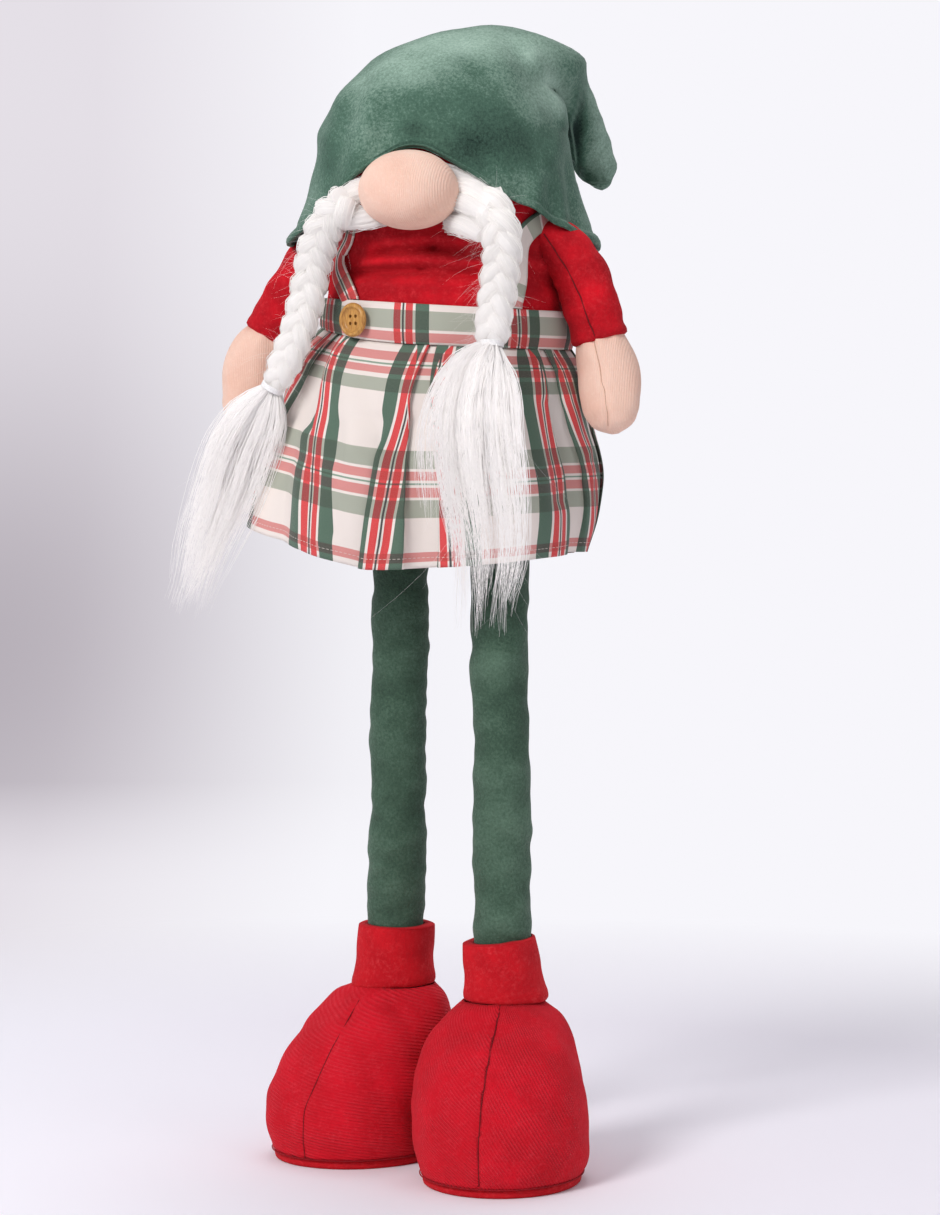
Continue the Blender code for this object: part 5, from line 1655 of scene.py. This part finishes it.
def make_skirt():
    rows = 64
    columns = 456
    shares = np.concatenate([[0.0, 0.012, 0.03], np.linspace(0.05, 1.0, rows - 3)])
    down = shares[:, None]
    whole = 2 * PERIOD * PANELS
    cloth = np.arange(columns) / columns * whole
    parts = [skirt_row(share, cloth) for share in shares]
    degrees, depth, across = (np.array(part) for part in zip(*parts))
    angle = np.radians(degrees)
    wider, deeper, aside = through(SKIRT_PLAN, shares).T[..., None]
    belly = (1.0 - np.abs(across) ** 2.4) - 0.35
    swell = 0.0085 * np.minimum(1.0, 1.6 * down) * belly * (down > 0.03) + depth
    # The right hand presses on the skirt beside it
    beside_hand = np.exp(-(((degrees - 98.0) / 26.0) ** 2))
    swell = swell - 0.0060 * beside_hand * np.exp(-(((down - 0.36) / 0.16) ** 2))
    side = np.sin(angle)
    top = band_foot(angle) - 0.0002
    hem = WAIST - SKIRT_LENGTH + 0.024 * np.maximum(-side, 0) + 0.0075 * np.maximum(side, 0) ** 2
    x = (BODY_HALF_WIDTH + wider + swell) * side + aside
    y = -(BODY_HALF_DEPTH + deeper + swell) * np.cos(angle)
    grid = np.stack([x, y, top + (hem - top) * down], axis=-1)
    for _ in range(2):
        grid = (np.roll(grid, 1, axis=1) + 2 * grid + np.roll(grid, -1, axis=1)) / 4
    grid = relaxed(grid, 3)
    outward = grid - np.stack([aside, np.zeros((rows, 1)), np.zeros((rows, 1))], axis=-1)
    outward[..., 2] = 0
    outward = unit(outward)
    sag = waves(grid, 0.050, 12, (1, 1, 0.5)) * 0.0016 + waves(grid, 0.022, 13, (1, 1, 0.4)) * 0.0006
    grid = grid + outward * (sag * np.clip(down * 2.5, 0, 1))[..., None]
    grid = worked(grid, outward, SKIRT_FOLDS)
    normals = grid_normals(grid)
    inside = grid - normals * 0.0006
    far = cloth.copy()
    far[0] = whole
    uv = [flat_cloth(place, down * 0.127, depth.shape) for place in (cloth, far)]
    skirt = formed("plaid_skirt", [grid, inside], PLAID, "plaid_skirt", ("skirt",), uv=uv)
    facing = np.sign((normals * outward).sum(axis=-1, keepdims=True))
    hem_line = grid[-4] + normals[-4] * 0.0001 * facing[-4]
    sewn("skirt_hem_stitches", [hem_line], CREAM_THREAD, 0.0027, 0.0020, 0.00030, closed=True)


SKIRT_FOLDS = (
    ((336, 425), (332, 530), -2.2, 9),
    ((412, 425), (386, 545), -2.4, 8),
    ((300, 372), (280, 440), -2.0, 8),
    ((548, 405), (562, 500), -2.2, 8),
    ((556, 372), (588, 450), 1.4, 8),
    ((300, 470), (296, 540), 1.6, 9),
    ((350, 380), (352, 450), 1.5, 12),
    ((392, 400), (388, 500), -2.0, 13),
    ((365, 360), (372, 420), -1.5, 9),
    ((330, 470), (322, 540), 1.5, 10),
    ((560, 400), (575, 470), 2.0, 10),
    ((440, 430), (450, 560), 1.5, 14),
)

make_skirt()

# Straps: share of the way, then degrees round the body and height above the waist
LEFT_TRACK = (
    (0.0, (-33.0, 0.0238)),
    (0.09, (-38.0, 0.0360)),
    (0.16, (-44.5, 0.0455)),
    (0.22, (-46.5, 0.0530)),
    (0.29, (-42.0, 0.0630)),
    (0.35, (-42.0, 0.0710)),
    (0.50, (-90.0, 0.0760)),
    (0.70, (-136.0, 0.0618)),
    (0.85, (-142.0, 0.0388)),
    (1.0, (-147.0, 0.0238)),
)
RIGHT_TRACK = (
    (0.0, (48.0, 0.0238)),
    (0.15, (52.0, 0.0388)),
    (0.30, (57.0, 0.0618)),
    (0.50, (90.0, 0.0760)),
    (0.70, (130.0, 0.0618)),
    (0.85, (137.0, 0.0388)),
    (1.0, (142.0, 0.0238)),
)


def make_strap(side, track, first_cloth, lift):
    rows = 90
    columns = 9
    t = np.linspace(0, 1, rows)
    angle, rise = through(track, t).T
    next_angle, next_rise = through(track, np.minimum(t + 0.02, 1)).T
    last_angle, last_rise = through(track, np.maximum(t - 0.02, 0)).T
    run = np.radians(next_angle - last_angle) * BODY_HALF_WIDTH
    climb = next_rise - last_rise
    length = np.hypot(run, climb)
    aside = np.linspace(-0.5, 0.5, columns)[None, :] * STRAP_WIDTH
    here = np.radians(angle)[:, None] + aside * (climb / length)[:, None] / BODY_HALF_WIDTH
    height = WAIST + rise[:, None] - aside * (run / length)[:, None]
    for end in (0, -1):
        height[end] = band_top(here[end]) + 0.0003
    grid = body_surface(here, height, DRESS_FIT + 0.0012)
    round_edge = 1 - (np.abs(np.linspace(-1, 1, columns)) ** 6)[None, :]
    outward = unit(grid * np.array([1, 1, 0]))
    wave = waves(grid, 0.03, 44) * 0.0004 + lift * np.exp(-(((t - 0.12) / 0.10) ** 2))[:, None]
    grid = grid + outward * (wave + 0.0003 * round_edge)[..., None]
    inside = grid - outward * STRAP_THICKNESS
    middle = np.cumsum(np.concatenate([[0.0], np.linalg.norm(np.diff(grid[:, 4], axis=0), axis=1)]))
    cloth = first_cloth + np.linspace(0, STRAP_WIDTH, columns)
    flat = flat_cloth(cloth, 0.012 + middle[:, None], (rows, columns))
    name = "plaid_strap_" + side
    replaced = ("strap_" + side,)
    strap = formed(name, [grid, inside], PLAID, "plaid_straps", replaced, uv=(flat, flat), ring=False)


make_strap("left", LEFT_TRACK, -0.0062, 0.003)
make_strap("right", RIGHT_TRACK, 0.0135, 0.0)


# Button

BUTTON_ANGLE = math.radians(-26.5)
BUTTON_RADIUS = 0.0100
HOLE_RADIUS = 0.0011
HOLES_APART = 0.0042
# Rings of the button from the middle of its face round to the middle of its back: size and height
BUTTON_RINGS = (
    (0.02, 0.0022),
    (0.30, 0.0022),
    (0.58, 0.0021),
    (0.66, 0.0023),
    (0.72, 0.0034),
    (0.77, 0.0041),
    (0.84, 0.0043),
    (0.92, 0.0039),
    (0.98, 0.0031),
    (1.0, 0.0024),
    (0.985, 0.0014),
    (0.93, 0.0007),
    (0.80, 0.0001),
    (0.40, 0.0),
    (0.02, 0.0),
)


def make_button():
    heights = np.array([WAIST + 0.60 * BAND_WIDTH] * 2)
    angles = np.array([BUTTON_ANGLE, BUTTON_ANGLE + 0.05])
    seat, beside = body_surface(angles, heights, DRESS_FIT + BAND_THICKNESS)
    outward = unit(np.cross(beside - seat, UPWARDS))
    along = unit(beside - seat)
    base = seat + outward * 0.0025
    angle = ring_angles(72)[:, None]
    edge = BUTTON_RADIUS * (np.cos(angle) * along + np.sin(angle) * UPWARDS)
    rings = np.array([base + size * edge + outward * height for size, height in BUTTON_RINGS])
    blank = placed("blank", closed_mesh("wooden_button", [rings]))
    holes = bpy.data.meshes.new("holes")
    shell = bmesh.new()
    turn = Vector(outward).to_track_quat("Z", "Y").to_matrix().to_4x4()
    size = {"segments": 24, "radius1": HOLE_RADIUS, "radius2": HOLE_RADIUS, "depth": 0.012}
    for across in (-0.5, 0.5):
        for up in (-0.5, 0.5):
            spot = base + FIGURE + (along * across + UPWARDS * up) * HOLES_APART + outward * 0.002
            place = Matrix.Translation(Vector(spot)) @ turn
            bmesh.ops.create_cone(shell, cap_ends=True, matrix=place, **size)
    shell.to_mesh(holes)
    shell.free()
    cutter = placed("holes", holes)
    bored = blank.modifiers.new("Bored", "BOOLEAN")
    bored.operation = "DIFFERENCE"
    bored.solver = "EXACT"
    bored.object = cutter
    graph = bpy.context.evaluated_depsgraph_get()
    button = bpy.data.meshes.new_from_object(blank.evaluated_get(graph))
    bpy.data.objects.remove(blank)
    bpy.data.objects.remove(cutter)
    button.set_sharp_from_angle(angle=math.radians(55))
    piece("wooden_button", button, WOOD, ("button",))


make_button()


# Hair: plaits, bindings, tassels and tufts


def from_waist(*points):
    """Points given by their height above the waist."""
    return [np.array([x, y, WAIST + rise]) for x, y, rise in points]


LEFT_PLAIT = from_waist(
    (-0.0330, -0.0760, 0.0820),
    (-0.0470, -0.0710, 0.0710),
    (-0.0560, -0.0660, 0.0560),
    (-0.0610, -0.0630, 0.0400),
    (-0.0655, -0.0630, 0.0210),
    (-0.0710, -0.0640, 0.0030),
    (-0.0785, -0.0640, -0.0130),
    (-0.0865, -0.0630, -0.0270),
)
RIGHT_PLAIT = from_waist(
    (0.0440, -0.0590, 0.0850),
    (0.0550, -0.0670, 0.0700),
    (0.0590, -0.0680, 0.0550),
    (0.0575, -0.0680, 0.0400),
    (0.0555, -0.0690, 0.0240),
    (0.0540, -0.0710, 0.0090),
    (0.0540, -0.0725, -0.0020),
)
LEFT_TASSEL = LEFT_PLAIT[-1:] + from_waist(
    (-0.0960, -0.0600, -0.0420),
    (-0.1080, -0.0580, -0.0620),
    (-0.1180, -0.0580, -0.0880),
    (-0.1290, -0.0600, -0.1160),
    (-0.1380, -0.0620, -0.1420),
)
LEFT_TASSEL_SIZES = (
    (0.0, (0.0050, 0.0046)),
    (0.12, (0.0120, 0.0090)),
    (0.35, (0.0190, 0.0115)),
    (0.60, (0.0190, 0.0110)),
    (0.85, (0.0150, 0.0080)),
    (1.0, (0.0110, 0.0050)),
)
RIGHT_TASSEL = RIGHT_PLAIT[-1:] + from_waist(
    (0.0510, -0.0850, -0.0200),
    (0.0520, -0.0980, -0.0500),
    (0.0570, -0.1010, -0.0850),
    (0.0610, -0.1010, -0.1150),
    (0.0600, -0.1000, -0.1450),
)
RIGHT_TASSEL_SIZES = (
    (0.0, (0.0052, 0.0048)),
    (0.12, (0.0170, 0.0095)),
    (0.30, (0.0280, 0.0110)),
    (0.60, (0.0310, 0.0110)),
    (0.85, (0.0270, 0.0090)),
    (1.0, (0.0220, 0.0070)),
)


def run_length(path):
    return np.linalg.norm(np.diff(path, axis=0), axis=1).sum()


def locks(name, slot, replaced, material, guides, **numbers):
    """Hair grown along guides, each its line, spread and looseness, with the tree's inputs as numbers."""
    lines, spreads, looses = zip(*guides)
    source = lines_mesh(lines, spread=spreads, loose=looses)
    values = {label.replace("_", " ").title(): value for label, value in numbers.items()}
    mesh = grown(name, source, LOCKS, {**values, "Material": material})
    piece(name, mesh, material, replaced)


PLAIT_TURN = 0.0350
PLAIT_HAIR = {"copies": 95, "points": 42, "strand_radius": 0.00026, "wander": 0.0022, "wander_size": 0.010}
TASSEL_HAIR = {"copies": 36, "points": 15, "strand_radius": 0.00022, "wander": 0.0050, "wander_size": 0.045}
TUFT_HAIR = {"copies": 110, "points": 12, "strand_radius": 0.00024, "wander": 0.004, "wander_size": 0.014}
STRAY_HAIR = {"copies": 1, "points": 9, "strand_radius": 0.00004, "wander": 0.0012, "wander_size": 0.014}


def make_plait(side, path, end_share, seed):
    """Three strands of hair laid over one another in turn down the path."""
    t = np.linspace(0, 1, 90)
    middle, across, depth = path_frame(path, t)
    turns = run_length(path) / PLAIT_TURN
    size = np.interp(t, [0.0, 0.08, 0.88, 0.97, 1.0], [0.90, 1.0, end_share, 0.60, 0.42])
    guides = []
    for strand in range(3):
        phase = 2 * math.pi * (turns * t + strand / 3) + seed
        off_side = 0.0062 * np.sin(phase) * size
        off_deep = 0.0034 * np.sin(2 * phase) * size
        line = middle + across * off_side[:, None] + depth * off_deep[:, None]
        guides.append((line, 0.0068 * size, np.full(len(t), 0.6)))
    name = "hair_plait_" + side
    replaced = ("plait_" + side,)
    locks(name, "hair_plaits", replaced, HAIR, guides, **PLAIT_HAIR, ragged=0.10, core=0.86, seed=seed)


def make_tie(side, path):
    """A thread wound round the end of a plait."""
    end = path[-1]
    along = unit(end - path[-2])
    across = unit(np.cross(along, FRONT))
    deep = np.cross(across, along)
    t = np.linspace(0, 1, 160)[:, None]
    angle = t * 2 * math.pi * 5
    spot = end - along * 0.0034 + along * 0.0030 * t
    line = spot + 0.0066 * (np.cos(angle) * across + np.sin(angle) * deep)
    piped("hair_tie_" + side, [line], 0.00055, HAIR_THREAD, replaced=("tie_" + side,))


def make_tassel(side, path, sizes, count, seed, long_share):
    """Loose hair below the binding, in locks that come to points at different lengths."""
    draw = np.random.default_rng(seed)
    t = np.linspace(0, 1, 22)
    guides = []
    for _ in range(count):
        reach = draw.uniform(0.0, 1.0) ** 0.5
        turn = draw.uniform(0, 2 * math.pi)
        place = t * (long_share * (1 - draw.uniform(0, 1) ** 1.4 * 0.52))
        within = np.minimum(place, 1)
        middle, across, depth = path_frame(path, within)
        last = middle[-1] - middle[-4]
        onwards = last / max(np.linalg.norm(last), 1e-6)
        beyond = np.maximum(place - 1, 0)[:, None] * run_length(path) * onwards
        half = through(sizes, within)
        sway = draw.normal(0, 1, 4)
        drift = 1 + 0.10 * sway[0] * t**2
        off_side = reach * math.cos(turn) * half[:, 0] * drift + 0.004 * sway[1] * t**2
        off_deep = reach * math.sin(turn) * half[:, 1] + 0.002 * sway[2] * t**2
        line = middle + beyond + across * off_side[:, None] + depth * off_deep[:, None]
        spreads = np.interp(t, [0, 0.15, 0.5, 0.85, 1.0], [0.0022, 0.0044, 0.0050, 0.0038, 0.0016])
        guides.append((line, spreads, np.interp(t, [0, 0.2, 1.0], [0.15, 0.5, 1.0])))
    name = "hair_tassel_" + side
    replaced = ("tassel_" + side,)
    locks(name, "hair_tassels", replaced, LOOSE_HAIR, guides, **TASSEL_HAIR, ragged=0.75, core=0.0, seed=seed)


def make_tuft(side, lines, seed):
    """Hair combed from under the hat to where the plait begins."""
    t = np.linspace(0, 1, 14)
    spreads = np.interp(t, [0, 0.5, 1], [0.0070, 0.0078, 0.0060])
    guides = [(through(stations_of(line), t), spreads, np.full(14, 0.6)) for line in lines]
    name = "hair_tuft_" + side
    locks(name, "hair_tufts", (name,), HAIR, guides, **TUFT_HAIR, ragged=0.25, core=0.8, seed=seed)


make_plait("left", LEFT_PLAIT, 0.86, 3)
make_plait("right", RIGHT_PLAIT, 0.90, 5)
make_tie("left", LEFT_PLAIT)
make_tie("right", RIGHT_PLAIT)
make_tassel("left", LEFT_TASSEL, LEFT_TASSEL_SIZES, 40, 11, 1.15)
make_tassel("right", RIGHT_TASSEL, RIGHT_TASSEL_SIZES, 50, 12, 1.20)


SHORT_STRAYS = 330
LONG_STRAYS = 26
STRAYS_PAST_CAD = 0.004


def make_strays():
    """Single hairs that have worked loose round the plaits and tassels, twice as many on the right."""
    draw = np.random.default_rng(77)
    lines = []
    t = np.linspace(0, 1, 9)[:, None]
    for number in range(SHORT_STRAYS):
        path = (LEFT_PLAIT, RIGHT_PLAIT, RIGHT_PLAIT)[number % 3]
        middle, across, depth = path_frame(path, np.array([draw.uniform(0.05, 0.95)]))
        turn = draw.uniform(-math.pi, math.pi)
        out_way = unit(across[0] * math.sin(turn) + depth[0] * (0.35 + abs(math.cos(turn))))
        start = middle[0] + out_way * 0.0105 * 0.7
        length = draw.uniform(0.010, 0.026) * (1.6 if draw.uniform() < 0.12 else 1.0)
        way = out_way * draw.uniform(0.35, 0.9)
        way = unit(way + np.array([draw.normal(0, 0.5), -0.25, draw.normal(-0.15, 0.6)]))
        bend = unit(np.cross(way, draw.normal(size=3)), 0.2)
        bent = bend * length * 0.40 * t**2 - UPWARDS * length * 0.30 * t**2
        lines.append(start + way * length * t + bent)
    t = np.linspace(0, 1, 12)[:, None]
    for _ in range(LONG_STRAYS):
        path = (LEFT_TASSEL, RIGHT_TASSEL, RIGHT_TASSEL)[int(draw.integers(3))]
        middle, across, depth = path_frame(path, np.array([draw.uniform(0.2, 0.95)]))
        side_way = across[0] * draw.choice([-1.0, 1.0])
        start = middle[0] + side_way * 0.014 + depth[0] * 0.006
        way = unit(-UPWARDS + side_way * draw.uniform(0.1, 0.9) + depth[0] * draw.uniform(0.0, 0.3))
        length = draw.uniform(0.03, 0.075)
        bend = side_way * draw.normal(0, 0.3)
        lines.append(start + way * length * t + bend * length * t**2)
    low, high = (np.array(corner) - FIGURE for corner in CAD_BOX)
    lines = [np.clip(line, low - STRAYS_PAST_CAD, high + STRAYS_PAST_CAD) for line in lines]
    guides = [(line, np.zeros(len(line)), np.full(len(line), 0.4)) for line in lines]
    locks("stray_hairs", "hair_plaits", (), LOOSE_HAIR, guides, **STRAY_HAIR, ragged=0.3, core=0.0, seed=9)


make_strays()
make_tuft(
    "left",
    (
        from_waist((-0.0140, -0.0640, 0.092), (-0.0290, -0.0690, 0.089), (-0.0440, -0.0720, 0.080)),
        from_waist((-0.0110, -0.0640, 0.076), (-0.0230, -0.0680, 0.073), (-0.0370, -0.0710, 0.070)),
    ),
    21,
)
make_tuft(
    "right",
    (
        from_waist((0.0080, -0.0540, 0.100), (0.0260, -0.0560, 0.095), (0.0450, -0.0580, 0.086)),
        from_waist((0.0240, -0.0600, 0.090), (0.0390, -0.0640, 0.087), (0.0520, -0.0670, 0.079)),
        from_waist((0.0260, -0.0620, 0.082), (0.0370, -0.0670, 0.080), (0.0500, -0.0700, 0.074)),
        from_waist((0.0250, -0.0620, 0.070), (0.0350, -0.0670, 0.068), (0.0470, -0.0700, 0.062)),
    ),
    22,
)


# What the figure holds inside keeps its own solids

for node, material, slot in (
    ("leg_core_left", TUBE, "core_tube"),
    ("leg_core_right", TUBE, "core_tube"),
    ("foot_disc_left", TUBE, "disc_plastic"),
    ("foot_disc_right", TUBE, "disc_plastic"),
    ("ballast_bag_left", BAG_CLOTH, "ballast_cloth"),
    ("ballast_bag_right", BAG_CLOTH, "ballast_cloth"),
    ("button_post", BROWN_THREAD, "button_thread"),
):
    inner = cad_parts[node]
    inner.data.materials.clear()
    inner.data.materials.append(material)


# Stage, light and camera


def stage_material():
    """Pale paper, a little brighter to the camera than to the figure, with painted shade: a soft grey shadow
    on the backdrop's left, and the floor a little darker from the figure rightwards.
    """
    material, tree, shader = begin("pale_paper", 0.9)
    place = place_of(tree)
    aside = add(tree, "ShaderNodeVectorMath", {0: place, 1: tuple(RIGHT)}, operation="DOT_PRODUCT")
    height = out(add(tree, "ShaderNodeSeparateXYZ", {0: place}), 2)
    # A painted soft shadow as a grey patch on the backdrop, left of the figure and above the floor
    off = maths(tree, "DIVIDE", plus(tree, out(aside, 1), 0.50), 0.28)
    up = maths(tree, "DIVIDE", maths(tree, "SUBTRACT", height, 0.17), 0.30)
    far = plus(tree, times(tree, off, off), times(tree, up, up))
    dim = maths(tree, "EXPONENT", times(tree, far, -1.0))
    raised = spread(tree, height, 0.0, 0.06)
    dim = times(tree, times(tree, dim, raised), 0.75)
    paper = mixed(tree, noise(tree, place, 0.8, 2.0), srgb(243, 241, 246), srgb(247, 245, 249))
    distant = add(tree, "ShaderNodeVectorMath", {0: place}, operation="LENGTH")
    wall = spread(tree, out(distant, 1), 0.50, 1.00)
    # Painted shade: the floor a little darker from the figure rightwards, the backdrop darker on its left
    across = spread(tree, out(aside, 1), -0.40, -0.10)
    floor_shade = mixed(tree, across, srgb(250, 248, 254), srgb(243, 239, 246))
    wall_shade = mixed(tree, across, srgb(229, 224, 231), srgb(247, 246, 251))
    wall_shade = mixed(tree, dim, wall_shade, srgb(164, 156, 165))
    by_eye = to_the_eye(tree)
    colour(tree, shader, mixed(tree, by_eye, paper, floor_shade))
    backdrop = add(tree, "ShaderNodeEmission", {"Color": wall_shade})
    both = laid_over(tree, times(tree, by_eye, wall), shader, backdrop)
    # From behind the paper lets the view through, so that the back of the figure can be seen
    away = add(tree, "ShaderNodeBsdfTransparent")
    behind_paper = out(add(tree, "ShaderNodeNewGeometry"), "Backfacing")
    ended(tree, laid_over(tree, behind_paper, both, away))
    return material


# Plan of the paper in metres: where it starts and rises, the radius of its curve, its height and half width
PAPER_START = -3.0
PAPER_RISES = 1.2
PAPER_CURVE = 0.9
PAPER_TOP = 4.0
PAPER_HALF_WIDTH = 3.5
CURVE_STEPS = 12


def make_stage():
    """A pale sweep of paper: floor in front, rising behind in one curve."""
    profile = [(PAPER_START, 0.0), (PAPER_RISES, 0.0)]
    for place in range(1, CURVE_STEPS + 1):
        turn = math.pi / 2 * place / CURVE_STEPS
        profile.append((PAPER_RISES + PAPER_CURVE * math.sin(turn), PAPER_CURVE * (1 - math.cos(turn))))
    profile.append((PAPER_RISES + PAPER_CURVE, PAPER_TOP))
    points = [(x, y, z) for x in (-PAPER_HALF_WIDTH, PAPER_HALF_WIDTH) for y, z in profile]
    count = len(profile)
    faces = [(place, place + 1, count + place + 1, count + place) for place in range(count - 1)]
    mesh = bpy.data.meshes.new("paper_sweep")
    turned = Matrix.Rotation(VIEW_TURN, 4, "Z")
    mesh.from_pydata([turned @ Vector(point) for point in points], [], faces)
    mesh.flip_normals()
    mesh.shade_smooth()
    mesh.materials.append(stage_material())
    placed("paper_sweep", mesh)


make_stage()


def add_area(name, power, size, side, towards, height, target_height):
    """A soft lamp placed by its distance to the view's right, towards the viewer and up."""
    lamp = bpy.data.lights.new(name, "AREA")
    lamp.energy = power
    lamp.shape = "DISK"
    lamp.size = size
    thing = placed(name, lamp)
    place = Vector(RIGHT * side + TOWARDS * towards + UPWARDS * height + FIGURE)
    aim = Vector(FIGURE + UPWARDS * target_height) - place
    thing.location = place
    thing.rotation_euler = aim.to_track_quat("-Z", "Y").to_euler()


add_area("key", 36, 0.8, -1.2, 1.6, 1.7, 0.45)
add_area("fill", 5, 1.4, 1.7, 1.5, 1.0, 0.4)
add_area("top", 9, 1.2, 0.1, -0.6, 2.2, 0.3)

world = bpy.data.worlds.new("pale_room")
world.use_nodes = True
room = world.node_tree
dim = room.nodes["Background"]
dim.inputs["Color"].default_value = (0.94, 0.94, 1.0, 1.0)
dim.inputs["Strength"].default_value = 0.45
pale = add(room, "ShaderNodeBackground", {"Color": srgb(247, 246, 251), "Strength": 1.0})
ended(room, laid_over(room, to_the_eye(room), dim, pale), "OUTPUT_WORLD")
bpy.context.scene.world = world

camera = bpy.data.cameras.new("camera")
camera.lens = FOCAL_PIXELS / PHOTO_HEIGHT * SENSOR
camera.sensor_width = SENSOR
camera.sensor_fit = "AUTO"
camera.dof.use_dof = False
viewer = placed("camera", camera)
viewer.location = Vector(EYE + FIGURE)
basis = Matrix((Vector(RIGHT), Vector(VIEW_UP), Vector(-SIGHT))).transposed()
viewer.rotation_euler = basis.to_euler()
bpy.context.scene.camera = viewer
bpy.context.scene.view_settings.view_transform = "Standard"
